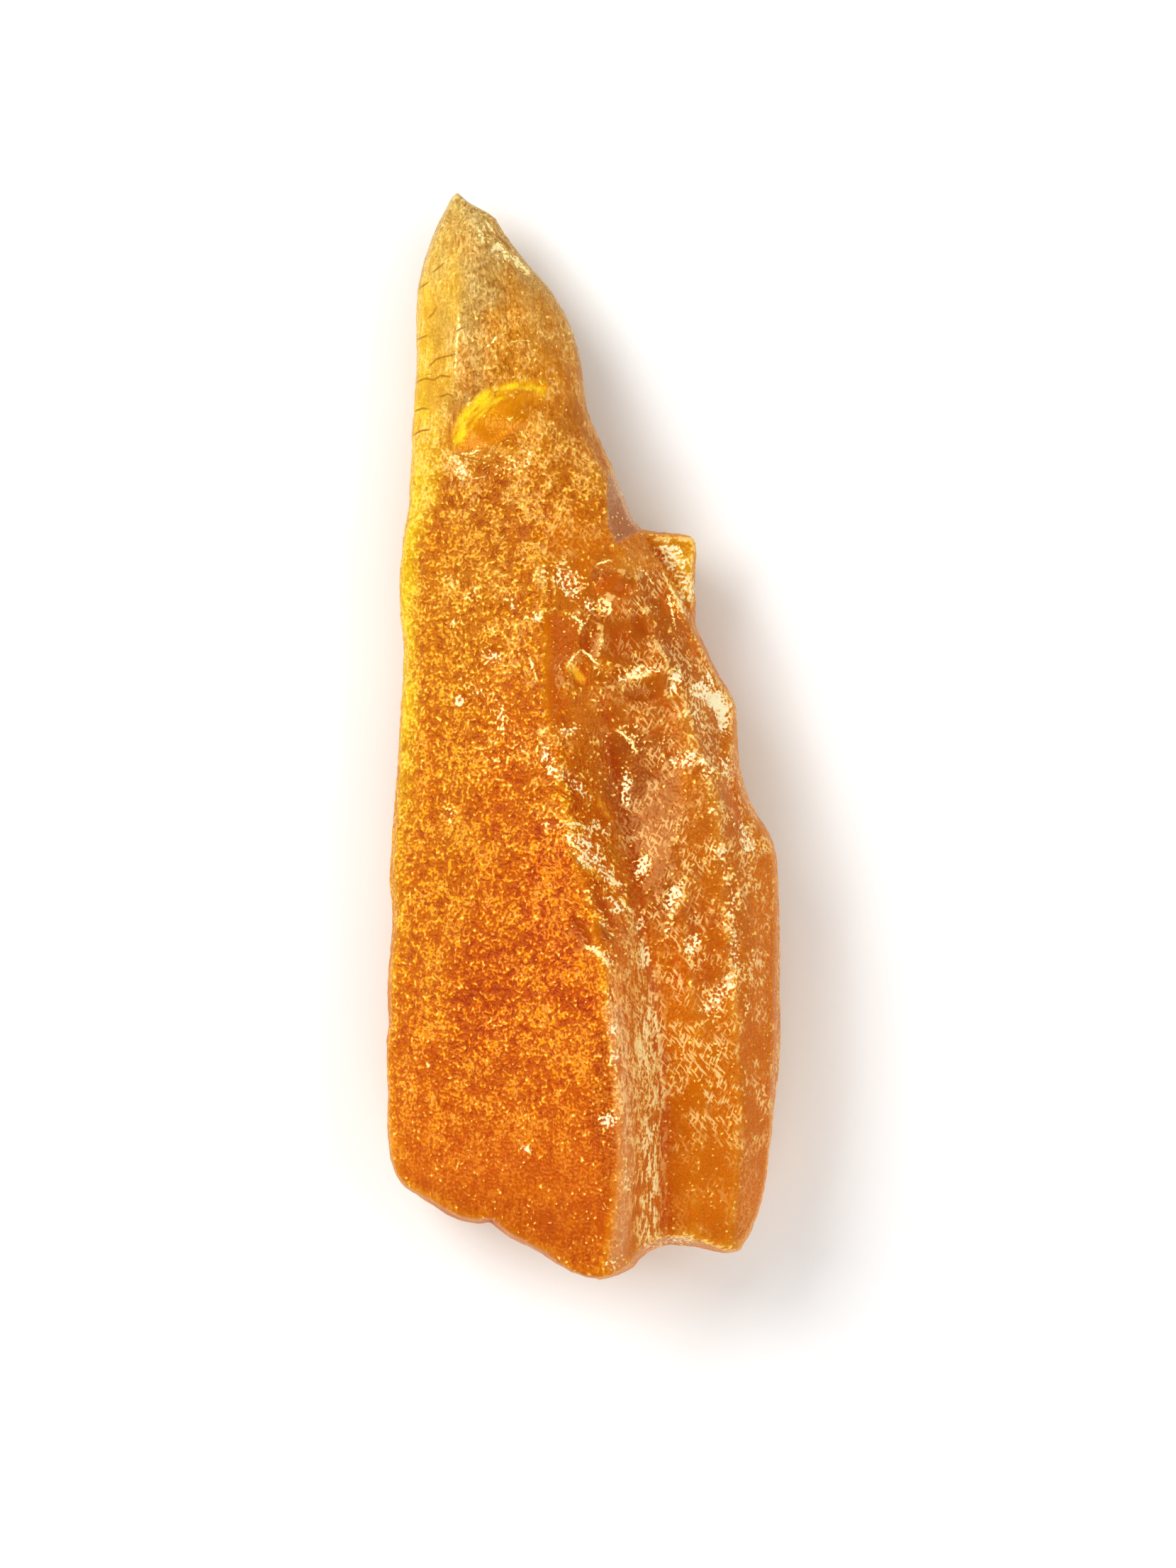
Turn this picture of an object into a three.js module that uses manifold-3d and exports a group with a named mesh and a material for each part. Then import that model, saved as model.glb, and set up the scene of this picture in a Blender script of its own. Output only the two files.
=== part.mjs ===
// Raw copal: one broken shard of hardened tree resin, lying on its back.
// Millimetres, +Z up. +Y runs from the broad broken end to the pointed end, +X to the right of the
// broad top face. The origin is the middle of the bounding box, on the surface that the shard lies on.
import * as THREE from "three";
import { mergeVertices } from "three/addons/utils/BufferGeometryUtils.js";
import Module from "manifold-3d";

// ---- driving dimensions (mm) ------------------------------------------------------------------
const LENGTH = 54.0; // pointed end to broken end
const GRID = 1526; // length of the shard in the units of the tables below
const U = LENGTH / GRID; // one table unit in mm
const MID_X = 823; // table position of the origin
const MID_Y = 1035;
const SHIFT = [0.002, 0.193]; // from the table's origin to the middle of the finished shard's box
const CELL = 0.9; // size of the surface cells
const EDGE_ROUND = 0.26; // rounding where two faces meet
const SWELL = 0.08; // what the rounding would take off the outline, given back
const SIDE_LEAN = 0.2; // how far the sides lean in for each mm above their widest line
const SIDE_UNDERCUT = 0.12; // and for each mm below it, apart from the broken facets
const WIDEST = 0.76; // height of the widest line, as a share of the height of the rim there
const BED_DEPTH = 0.32; // how much the flat bed takes off the underside
const WAVE = 0.16; // height of the slow waves in the broken faces
const RESIN_COLOUR = 0xd9821c;

// ---- outline, seen from above ------------------------------------------------------------------
// Table x grows to the right and table y grows towards the broken end.
const OUTLINE = [
  [643, 264], [633, 277], [626, 292], [617, 311], [607, 335], [599, 358], [593, 380], [589, 400], [587, 425],
  [586, 460], [587, 500], [586, 530], [584, 560], [581, 600], [580, 640], [577, 680], [576, 712], [571, 740],
  [567, 765], [565, 790], [562, 815], [563, 845], [564, 870], [568, 898], [569, 925], [567, 960], [564, 1000],
  [562, 1040], [560, 1080], [556, 1130], [553, 1170], [549, 1230], [549, 1250], [552, 1272], [553, 1300],
  [550, 1340], [546, 1385], [546, 1410], [548, 1440], [545, 1470], [545, 1500], [547, 1540], [546, 1575],
  [547, 1610], [550, 1635], [557, 1658], [570, 1676], [590, 1688], [610, 1700], [632, 1714], [650, 1722],
  [672, 1725], [692, 1723], [704, 1733], [722, 1745], [745, 1755], [765, 1765], [785, 1778], [805, 1788],
  [825, 1795], [845, 1798], [862, 1796], [880, 1790], [895, 1783], [902, 1772], [912, 1764], [925, 1758],
  [945, 1753], [965, 1755], [985, 1757], [1003, 1762], [1020, 1766], [1035, 1765], [1046, 1762], [1050, 1750],
  [1056, 1745], [1062, 1728], [1070, 1710], [1077, 1685], [1081, 1660], [1084, 1630], [1088, 1600], [1091, 1570],
  [1095, 1540], [1098, 1510], [1101, 1480], [1101, 1440], [1100, 1400], [1101, 1360], [1100, 1320], [1099, 1280],
  [1098, 1250], [1096, 1215], [1092, 1190], [1080, 1165], [1068, 1150], [1060, 1135], [1052, 1115], [1047, 1095],
  [1043, 1080], [1041, 1050], [1039, 1010], [1038, 990], [1030, 975], [1018, 958], [1005, 935], [997, 915],
  [987, 895], [981, 880], [982, 850], [980, 830], [982, 800], [986, 780], [985, 764], [979, 754], [955, 751],
  [930, 750], [905, 745], [895, 735], [888, 722], [882, 705], [875, 690], [868, 670], [862, 652], [855, 640],
  [848, 622], [840, 605], [833, 590], [828, 575], [825, 555], [822, 535], [820, 510], [815, 490], [812, 475],
  [805, 455], [798, 440], [790, 425], [780, 408], [765, 390], [748, 372], [740, 362], [725, 342], [710, 320],
  [699, 302], [685, 293], [665, 283], [652, 272],
];

// ---- top face: eight lines along the shard, each [table x, height] at every station ---------------
// left rim, left shoulder, left flank, crest, foot of the crest, middle of the right face, right edge, right rim
const STATIONS = [
  [272, [630, 2.6], [634, 2.8], [638, 2.9], [642, 3.0], [645, 3.0], [648, 2.9], [652, 2.8], [656, 2.6]],
  [300, [621, 2.9], [632, 3.2], [642, 3.4], [655, 3.8], [664, 3.7], [672, 3.5], [682, 3.2], [694, 2.8]],
  [340, [605, 3.1], [622, 3.5], [642, 3.9], [668, 4.6], [682, 4.3], [695, 4.0], [708, 3.6], [722, 3.0]],
  [400, [589, 3.2], [610, 3.8], [640, 4.4], [680, 5.2], [705, 4.8], [730, 4.5], [752, 4.0], [772, 3.2]],
  [460, [586, 3.3], [610, 4.1], [645, 4.8], [695, 5.6], [725, 5.2], [755, 4.9], [785, 4.3], [806, 3.5]],
  [520, [586, 3.4], [612, 4.3], [650, 5.1], [705, 5.9], [738, 5.6], [770, 5.3], [798, 4.8], [820, 3.8]],
  [600, [581, 3.5], [610, 4.5], [660, 5.4], [720, 6.2], [755, 6.1], [790, 5.8], [818, 5.3], [838, 4.2]],
  [680, [577, 3.6], [610, 4.7], [665, 5.8], [735, 6.6], [780, 6.7], [820, 6.6], [853, 6.2], [872, 4.6]],
  [760, [568, 3.7], [605, 4.8], [670, 6.1], [750, 7.1], [800, 7.3], [840, 7.2], [862, 6.9], [910, 5.1]],
  [820, [562, 3.7], [600, 4.9], [675, 6.3], [760, 7.5], [815, 7.1], [860, 7.3], [905, 7.1], [942, 5.9]],
  [900, [567, 3.8], [602, 5.0], [680, 6.5], [772, 8.0], [820, 7.2], [880, 7.5], [940, 7.5], [974, 6.3]],
  [1000, [564, 3.9], [600, 5.1], [680, 6.7], [772, 8.5], [845, 7.3], [915, 7.7], [985, 7.7], [1038, 5.4]],
  [1100, [557, 4.0], [600, 5.3], [690, 7.1], [792, 9.1], [868, 7.5], [935, 8.0], [1005, 8.1], [1050, 5.7]],
  [1200, [551, 4.1], [600, 5.5], [700, 7.5], [814, 9.8], [890, 7.9], [948, 8.4], [1018, 8.5], [1095, 5.4]],
  [1300, [553, 4.2], [600, 5.6], [710, 7.8], [842, 10.5], [905, 8.5], [958, 8.8], [1028, 8.7], [1099, 5.5]],
  [1400, [546, 4.3], [600, 5.8], [720, 8.1], [855, 11.0], [922, 8.6], [975, 8.9], [1035, 8.6], [1100, 5.7]],
  [1500, [545, 4.4], [600, 5.9], [725, 8.3], [869, 11.4], [932, 8.5], [982, 8.8], [1040, 8.3], [1098, 5.8]],
  [1600, [547, 4.5], [605, 6.0], [730, 8.4], [876, 11.4], [936, 8.3], [986, 8.6], [1042, 8.1], [1087, 5.9]],
  [1700, [570, 4.8], [620, 6.2], [735, 8.3], [868, 11.0], [938, 8.0], [980, 8.3], [1036, 7.8], [1074, 5.9]],
  [1800, [590, 4.8], [640, 6.0], [740, 7.9], [848, 10.4], [938, 7.6], [972, 7.9], [1026, 7.4], [1060, 5.7]],
];

// ---- spur: the low step behind the right edge, up to this height --------------------------------
const SPUR_TOP = 4.6;
const SPUR_EDGE = [[900, 740], [912, 765], [925, 790], [945, 832], [962, 868], [981, 905], [1000, 940]];
const SPUR_END = 965; // table y where the step has run out

// ---- broken facets of the underside and the sides: three points each, [table x, table y, height] -----
const FACETS = [
  [[547, 1500, 2.2], [588, 480, 1.9], [672, 1000, 0]], // left, below
  [[1100, 1400, 2.8], [1040, 1010, 2.4], [950, 1230, 0]], // right, below
  [[838, 600, 1.9], [908, 745, 1.6], [748, 745, 0]], // upper right, below
  [[642, 266, 1.3], [700, 297, 1.4], [672, 520, 0]], // point, below
  [[560, 1670, 2.4], [750, 1757, 2.9], [690, 1570, 0]], // broken end, below
  [[850, 1798, 3.2], [1050, 1760, 3.0], [935, 1610, 0]], // broken end, below right
  [[990, 770, 1.5], [987, 880, 1.2], [885, 800, 0]], // spur, below
  [[590, 1700, 3.7], [842, 1809, 8.2], [735, 1672, 1.0]], // broken end, left of the crest
  [[842, 1809, 8.0], [1042, 1775, 5.5], [950, 1697, 0.9]], // broken end, right of the crest
  [[1113, 1250, 4.0], [1108, 1570, 4.1], [1075, 1410, 0.7]], // right side
  [[1049, 1010, 3.9], [1104, 1200, 3.9], [1036, 1150, 0.7]], // right side, above the widest stretch
  [[567, 690, 2.6], [557, 950, 2.8], [586, 820, 0.9]], // left side
  [[541, 1240, 3.0], [537, 1560, 3.1], [567, 1400, 0.9]], // left side, towards the broken end
];

// ---- smooth bevels that cut the top face, three points each ------------------------------------------
const BEVELS = [
  [[873, 668, 5.5], [909, 745, 5.5], [848, 735, 7.5]], // above the spur
];

// ---- shell-shaped breaks: [table x, table y, half length, half width, depth, turn in degrees] -----
const BREAKS = [
  [884, 1115, 5.6, 2.9, 0.55, -8],
  [905, 862, 3.6, 1.7, 0.45, -24],
  [703, 592, 2.6, 1.25, 0.5, 58],
  [1012, 1010, 2.3, 1.2, 0.4, -12],
  [1010, 1330, 5.0, 1.6, 0.3, 4],
];

const X = (x) => (x - MID_X) * U + SHIFT[0];
const Y = (y) => (MID_Y - y) * U + SHIFT[1];

// ---- small maths ------------------------------------------------------------------------------
const hash = (i, j, k) => {
  const s = Math.sin(i * 127.1 + j * 311.7 + k * 74.7) * 43758.5453;
  return s - Math.floor(s);
};
const fade = (t) => t * t * (3 - 2 * t);
function noise(x, y, z) {
  const i = Math.floor(x), j = Math.floor(y), k = Math.floor(z);
  const u = fade(x - i), v = fade(y - j), w = fade(z - k);
  const mix = (a, b, t) => a + (b - a) * t;
  const at = (a, b, c) => hash(i + a, j + b, k + c);
  return (
    mix(
      mix(mix(at(0, 0, 0), at(1, 0, 0), u), mix(at(0, 1, 0), at(1, 1, 0), u), v),
      mix(mix(at(0, 0, 1), at(1, 0, 1), u), mix(at(0, 1, 1), at(1, 1, 1), u), v),
      w,
    ) * 2 - 1
  );
}
// the larger of two distances, rounded where they are within r of each other
const roundMax = (a, b, r) => {
  const h = Math.max(r - Math.abs(a - b), 0);
  return Math.max(a, b) + (h * h) / (4 * r);
};
function segment(px, py, ax, ay, bx, by) {
  const dx = bx - ax, dy = by - ay;
  const t = Math.min(1, Math.max(0, ((px - ax) * dx + (py - ay) * dy) / (dx * dx + dy * dy)));
  return Math.hypot(px - ax - t * dx, py - ay - t * dy);
}

// ---- outline: signed distance in mm, negative inside ------------------------------------------------
const ring = OUTLINE.map(([x, y]) => [X(x), Y(y)]);
function outline(px, py) {
  let d = Infinity, inside = false;
  for (let i = 0, j = ring.length - 1; i < ring.length; j = i++) {
    const [ax, ay] = ring[j], [bx, by] = ring[i];
    d = Math.min(d, segment(px, py, ax, ay, bx, by));
    if (ay > py !== by > py && px < ((bx - ax) * (py - ay)) / (by - ay) + ax) inside = !inside;
  }
  return inside ? -d : d;
}

// ---- top face -----------------------------------------------------------------------------------
// Catmull-Rom along the shard through each line's stations, straight between neighbouring lines.
function lineAt(k, ty) {
  const n = STATIONS.length;
  let i = 0;
  while (i < n - 2 && ty > STATIONS[i + 1][0]) i++;
  const p = (q) => STATIONS[Math.min(n - 1, Math.max(0, q))];
  const y0 = p(i)[0], y1 = p(i + 1)[0];
  const t = Math.min(1, Math.max(0, (ty - y0) / (y1 - y0)));
  return [0, 1].map((c) => {
    const a = p(i)[k + 1][c], b = p(i + 1)[k + 1][c];
    const before = i > 0 ? (b - p(i - 1)[k + 1][c]) / (y1 - p(i - 1)[0]) : (b - a) / (y1 - y0);
    const after = i < n - 2 ? (p(i + 2)[k + 1][c] - a) / (p(i + 2)[0] - y0) : (b - a) / (y1 - y0);
    const m0 = before * (y1 - y0), m1 = after * (y1 - y0);
    const t2 = t * t, t3 = t2 * t;
    return (2 * t3 - 3 * t2 + 1) * a + (t3 - 2 * t2 + t) * m0 + (-2 * t3 + 3 * t2) * b + (t3 - t2) * m1;
  });
}
const rows = new Map();
function row(ty) {
  if (!rows.has(ty)) rows.set(ty, Array.from({ length: 8 }, (_, k) => lineAt(k, ty)));
  return rows.get(ty);
}
function topAt(tx, ty) {
  const r = row(ty);
  tx = Math.min(r[7][0] + 8, Math.max(r[0][0] - 8, tx));
  let k = 0;
  while (k < 6 && tx > r[k + 1][0]) k++;
  const [xa, za] = r[k], [xb, zb] = r[k + 1];
  return za + ((zb - za) * (tx - xa)) / (xb - xa);
}
// table x of the right edge above the spur, at this table y
function spurEdge(ty) {
  let i = 0;
  while (i < SPUR_EDGE.length - 2 && ty > SPUR_EDGE[i + 1][1]) i++;
  const [xa, ya] = SPUR_EDGE[i], [xb, yb] = SPUR_EDGE[i + 1];
  return xa + ((xb - xa) * (ty - ya)) / (yb - ya);
}
const bevels = BEVELS.map((points) => {
  const [p, q, r] = points.map(([x, y, z]) => new THREE.Vector3(X(x), Y(y), z));
  const n = q.sub(p).cross(r.sub(p));
  return [-n.x / n.z, -n.y / n.z, n.dot(p) / n.z]; // z = ax + by + c
});
function top(tx, ty) {
  let z = (topAt(tx - 5, ty) + 2 * topAt(tx, ty) + topAt(tx + 5, ty)) / 4;
  z += WAVE * (noise(tx / 85, ty / 120, 1.5) + 0.5 * noise(tx / 40, ty / 55, 7.5));
  for (const [a, b, c] of bevels) z = Math.min(z, a * X(tx) + b * Y(ty) + c);
  if (ty > 735 && ty < SPUR_END) {
    const edge = spurEdge(ty), past = (tx - edge) * U; // mm beyond the edge, where the face drops to the spur
    const low = SPUR_TOP + 0.9 * Math.max(0, (ty - 880) / 85) + 0.2 * noise(tx / 22, ty / 22, 3.5);
    if (past > 0) z = Math.max(low, topAt(edge, ty) - 3.2 * past);
  }
  for (const [bx, by, along, across, depth, turn] of BREAKS) {
    const a = (turn * Math.PI) / 180, dx = (tx - bx) * U, dy = (by - ty) * U;
    const u = (dx * Math.cos(a) + dy * Math.sin(a)) / across;
    const v = (-dx * Math.sin(a) + dy * Math.cos(a)) / along;
    const q = u * u + v * v;
    if (q < 1) z -= depth * (1 - q);
  }
  return z;
}

// ---- underside and sides ----------------------------------------------------------------------------
// each facet as a unit normal facing out and its distance from the origin
const inner = new THREE.Vector3(0, -4, 4);
const facets = FACETS.map((points) => {
  const [p, q, r] = points.map(([x, y, z]) => new THREE.Vector3(X(x), Y(y), z));
  const n = q.sub(p).cross(r.sub(p)).normalize();
  if (n.dot(inner.clone().sub(p)) > 0) n.negate();
  return [n, n.dot(p)];
});
const bedHeight = (px, py) => -BED_DEPTH + 0.3 * noise(px / 3.1 + 20, py / 4.3, 9.5);
const spot = new THREE.Vector3();
function broken(px, py, pz) {
  let d = -Infinity;
  facets.forEach(([n, c], i) => {
    const e = n.dot(spot.set(px, py, pz)) - c + 0.2 * noise(px / 2.6, py / 2.9, pz / 2.9 + 11.5 + i * 3);
    d = i ? roundMax(d, e, EDGE_ROUND) : e;
  });
  return d;
}

// ---- the shard as one signed field, meshed by surface nets -------------------------------------------
function shard(x, y, z) {
  const tx = (x - SHIFT[0]) / U + MID_X, ty = MID_Y - (y - SHIFT[1]) / U;
  const t = top(tx, Math.min(1800, Math.max(272, ty)));
  const widest = (WIDEST + 0.1 * noise(x / 5.5, y / 5.5, 21.5)) * t;
  const lean = SIDE_LEAN * (1 + 0.8 * noise(x / 4.1, y / 4.1, 31.5));
  const wall = outline(x, y) - SWELL + lean * Math.max(0, z - widest) + SIDE_UNDERCUT * Math.max(0, widest - z);
  // the height is scaled by about the slope of the top face, which turns it into a distance
  const shell = roundMax(roundMax((z - t) * 0.9, bedHeight(x, y) - z, EDGE_ROUND), wall, EDGE_ROUND);
  return roundMax(shell, broken(x, y, z), EDGE_ROUND);
}
const lowX = X(545) - 1.5, highX = X(1101) + 1.5;
const lowY = Y(1798) - 1.5, highY = Y(264) + 1.5;
const lowZ = -2.0, highZ = 13.0;
const nx = Math.ceil((highX - lowX) / CELL) + 1;
const ny = Math.ceil((highY - lowY) / CELL) + 1;
const nz = Math.ceil((highZ - lowZ) / CELL) + 1;
const field = new Float64Array(nx * ny * nz);
const at = (i, j, k) => (k * ny + j) * nx + i;
for (let k = 0; k < nz; k++)
  for (let j = 0; j < ny; j++)
    for (let i = 0; i < nx; i++) field[at(i, j, k)] = shard(lowX + i * CELL, lowY + j * CELL, lowZ + k * CELL);
const corners = [[0, 0, 0], [1, 0, 0], [0, 1, 0], [1, 1, 0], [0, 0, 1], [1, 0, 1], [0, 1, 1], [1, 1, 1]];
const edges = [[0, 1], [2, 3], [4, 5], [6, 7], [0, 2], [1, 3], [4, 6], [5, 7], [0, 4], [1, 5], [2, 6], [3, 7]];
const positions = [];
const cellPoint = new Int32Array(nx * ny * nz).fill(-1);
for (let k = 0; k < nz - 1; k++)
  for (let j = 0; j < ny - 1; j++)
    for (let i = 0; i < nx - 1; i++) {
      const v = corners.map(([a, b, c]) => field[at(i + a, j + b, k + c)]);
      if (v.every((q) => q < 0) || v.every((q) => q >= 0)) continue;
      const sum = [0, 0, 0];
      let n = 0;
      for (const [a, b] of edges) {
        if (v[a] < 0 === v[b] < 0) continue;
        const t = v[a] / (v[a] - v[b]);
        for (let c = 0; c < 3; c++) sum[c] += corners[a][c] + t * (corners[b][c] - corners[a][c]);
        n++;
      }
      cellPoint[at(i, j, k)] = positions.length / 3;
      positions.push(lowX + (i + sum[0] / n) * CELL, lowY + (j + sum[1] / n) * CELL, lowZ + (k + sum[2] / n) * CELL);
    }
// each point of the net is moved onto the surface itself, at most a third of a cell
for (let i = 0; i < positions.length; i += 3) {
  const p = positions.slice(i, i + 3), start = p.slice(), h = 0.05;
  for (let step = 0; step < 3; step++) {
    const f = shard(...p);
    const g = [0, 1, 2].map((c) => {
      const q = p.slice();
      q[c] += h;
      return (shard(...q) - f) / h;
    });
    const scale = f / Math.max(0.3, g[0] * g[0] + g[1] * g[1] + g[2] * g[2]);
    for (let c = 0; c < 3; c++) p[c] -= scale * g[c];
  }
  const move = Math.hypot(p[0] - start[0], p[1] - start[1], p[2] - start[2]);
  const share = Math.min(1, (CELL / 3) / Math.max(move, 1e-9));
  for (let c = 0; c < 3; c++) positions[i + c] = start[c] + (p[c] - start[c]) * share;
}
const triangles = [];
const point = (p) => new THREE.Vector3(positions[3 * p], positions[3 * p + 1], positions[3 * p + 2]);
function quad(a, b, c, d, flip) {
  const short = point(a).distanceTo(point(c)) <= point(b).distanceTo(point(d));
  const made = short ? [[a, b, c], [a, c, d]] : [[a, b, d], [b, c, d]];
  for (const [p, q, r] of made) triangles.push(...(flip ? [p, r, q] : [p, q, r]));
}
for (let k = 1; k < nz - 1; k++)
  for (let j = 1; j < ny - 1; j++)
    for (let i = 1; i < nx - 1; i++) {
      const here = field[at(i, j, k)] < 0;
      if (here !== field[at(i + 1, j, k)] < 0)
        quad(cellPoint[at(i, j - 1, k - 1)], cellPoint[at(i, j, k - 1)], cellPoint[at(i, j, k)], cellPoint[at(i, j - 1, k)], !here);
      if (here !== field[at(i, j + 1, k)] < 0)
        quad(cellPoint[at(i - 1, j, k - 1)], cellPoint[at(i - 1, j, k)], cellPoint[at(i, j, k)], cellPoint[at(i, j, k - 1)], !here);
      if (here !== field[at(i, j, k + 1)] < 0)
        quad(cellPoint[at(i - 1, j - 1, k)], cellPoint[at(i, j - 1, k)], cellPoint[at(i, j, k)], cellPoint[at(i - 1, j, k)], !here);
    }

// ---- bed: one flat face that the shard lies on ------------------------------------------------------
const wasm = await Module();
wasm.setup();
const solidOf = (positionArray, indexArray) =>
  new wasm.Manifold(new wasm.Mesh({ numProp: 3, vertProperties: new Float32Array(positionArray), triVerts: new Uint32Array(indexArray) }));
const slab = new THREE.BoxGeometry(60, 90, 10);
slab.translate(0, 0, -5);
slab.deleteAttribute("normal");
slab.deleteAttribute("uv");
const slabMerged = mergeVertices(slab);
const cut = solidOf(positions, triangles).subtract(solidOf(slabMerged.attributes.position.array, slabMerged.index.array));
const made = cut.getMesh();
const geometry = new THREE.BufferGeometry();
geometry.setAttribute("position", new THREE.BufferAttribute(new Float32Array(made.vertProperties), 3));
geometry.setIndex(new THREE.BufferAttribute(new Uint32Array(made.triVerts), 1));
geometry.computeVertexNormals();

const copal = new THREE.Mesh(
  geometry,
  new THREE.MeshStandardMaterial({ color: RESIN_COLOUR, roughness: 0.5, metalness: 0, transparent: true, opacity: 0.85 }),
);
copal.name = "copal";
const root = new THREE.Group();
root.add(copal);
export default root;
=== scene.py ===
import math
import bpy
import numpy as np
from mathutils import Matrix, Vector


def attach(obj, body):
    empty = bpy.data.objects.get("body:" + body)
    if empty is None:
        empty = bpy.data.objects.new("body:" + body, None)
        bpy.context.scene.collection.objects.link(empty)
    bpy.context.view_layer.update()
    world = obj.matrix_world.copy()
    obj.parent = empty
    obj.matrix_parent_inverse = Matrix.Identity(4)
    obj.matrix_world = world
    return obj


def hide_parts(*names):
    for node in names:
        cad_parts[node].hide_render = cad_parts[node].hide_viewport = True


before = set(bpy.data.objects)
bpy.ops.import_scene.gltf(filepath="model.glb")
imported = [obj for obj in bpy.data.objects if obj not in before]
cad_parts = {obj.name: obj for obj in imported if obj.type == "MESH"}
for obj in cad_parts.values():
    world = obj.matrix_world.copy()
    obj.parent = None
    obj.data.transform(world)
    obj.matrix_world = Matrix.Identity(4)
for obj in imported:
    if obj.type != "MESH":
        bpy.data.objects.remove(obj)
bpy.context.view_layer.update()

# ==== the shard's own tables, as in the CAD part ====================================================
# Table x grows to the right and table y towards the broken end. Heights are in mm.
LENGTH = 54.0
GRID = 1526
U = LENGTH / GRID
MID_X, MID_Y = 823, 1035
SHIFT = (0.002, 0.193)
SIDE_LEAN, SIDE_UNDERCUT, WIDEST = 0.2, 0.12, 0.76
BED_DEPTH, WAVE = 0.32, 0.16
SPUR_TOP, SPUR_END = 4.6, 965

OUTLINE = [
  [643, 264], [633, 277], [626, 292], [617, 311], [607, 335], [599, 358], [593, 380], [589, 400], [587, 425],
  [586, 460], [587, 500], [586, 530], [584, 560], [581, 600], [580, 640], [577, 680], [576, 712], [571, 740],
  [567, 765], [565, 790], [562, 815], [563, 845], [564, 870], [568, 898], [569, 925], [567, 960], [564, 1000],
  [562, 1040], [560, 1080], [556, 1130], [553, 1170], [549, 1230], [549, 1250], [552, 1272], [553, 1300],
  [550, 1340], [546, 1385], [546, 1410], [548, 1440], [545, 1470], [545, 1500], [547, 1540], [546, 1575],
  [547, 1610], [550, 1635], [557, 1658], [570, 1676], [590, 1688], [610, 1700], [632, 1714], [650, 1722],
  [672, 1725], [692, 1723], [704, 1733], [722, 1745], [745, 1755], [765, 1765], [785, 1778], [805, 1788],
  [825, 1795], [845, 1798], [862, 1796], [880, 1790], [895, 1783], [902, 1772], [912, 1764], [925, 1758],
  [945, 1753], [965, 1755], [985, 1757], [1003, 1762], [1020, 1766], [1035, 1765], [1046, 1762], [1050, 1750],
  [1056, 1745], [1062, 1728], [1070, 1710], [1077, 1685], [1081, 1660], [1084, 1630], [1088, 1600], [1091, 1570],
  [1095, 1540], [1098, 1510], [1101, 1480], [1101, 1440], [1100, 1400], [1101, 1360], [1100, 1320], [1099, 1280],
  [1098, 1250], [1096, 1215], [1092, 1190], [1080, 1165], [1068, 1150], [1060, 1135], [1052, 1115], [1047, 1095],
  [1043, 1080], [1041, 1050], [1039, 1010], [1038, 990], [1030, 975], [1018, 958], [1005, 935], [997, 915],
  [987, 895], [981, 880], [982, 850], [980, 830], [982, 800], [986, 780], [985, 764], [979, 754], [955, 751],
  [930, 750], [905, 745], [895, 735], [888, 722], [882, 705], [875, 690], [868, 670], [862, 652], [855, 640],
  [848, 622], [840, 605], [833, 590], [828, 575], [825, 555], [822, 535], [820, 510], [815, 490], [812, 475],
  [805, 455], [798, 440], [790, 425], [780, 408], [765, 390], [748, 372], [740, 362], [725, 342], [710, 320],
  [699, 302], [685, 293], [665, 283], [652, 272],
]
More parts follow.
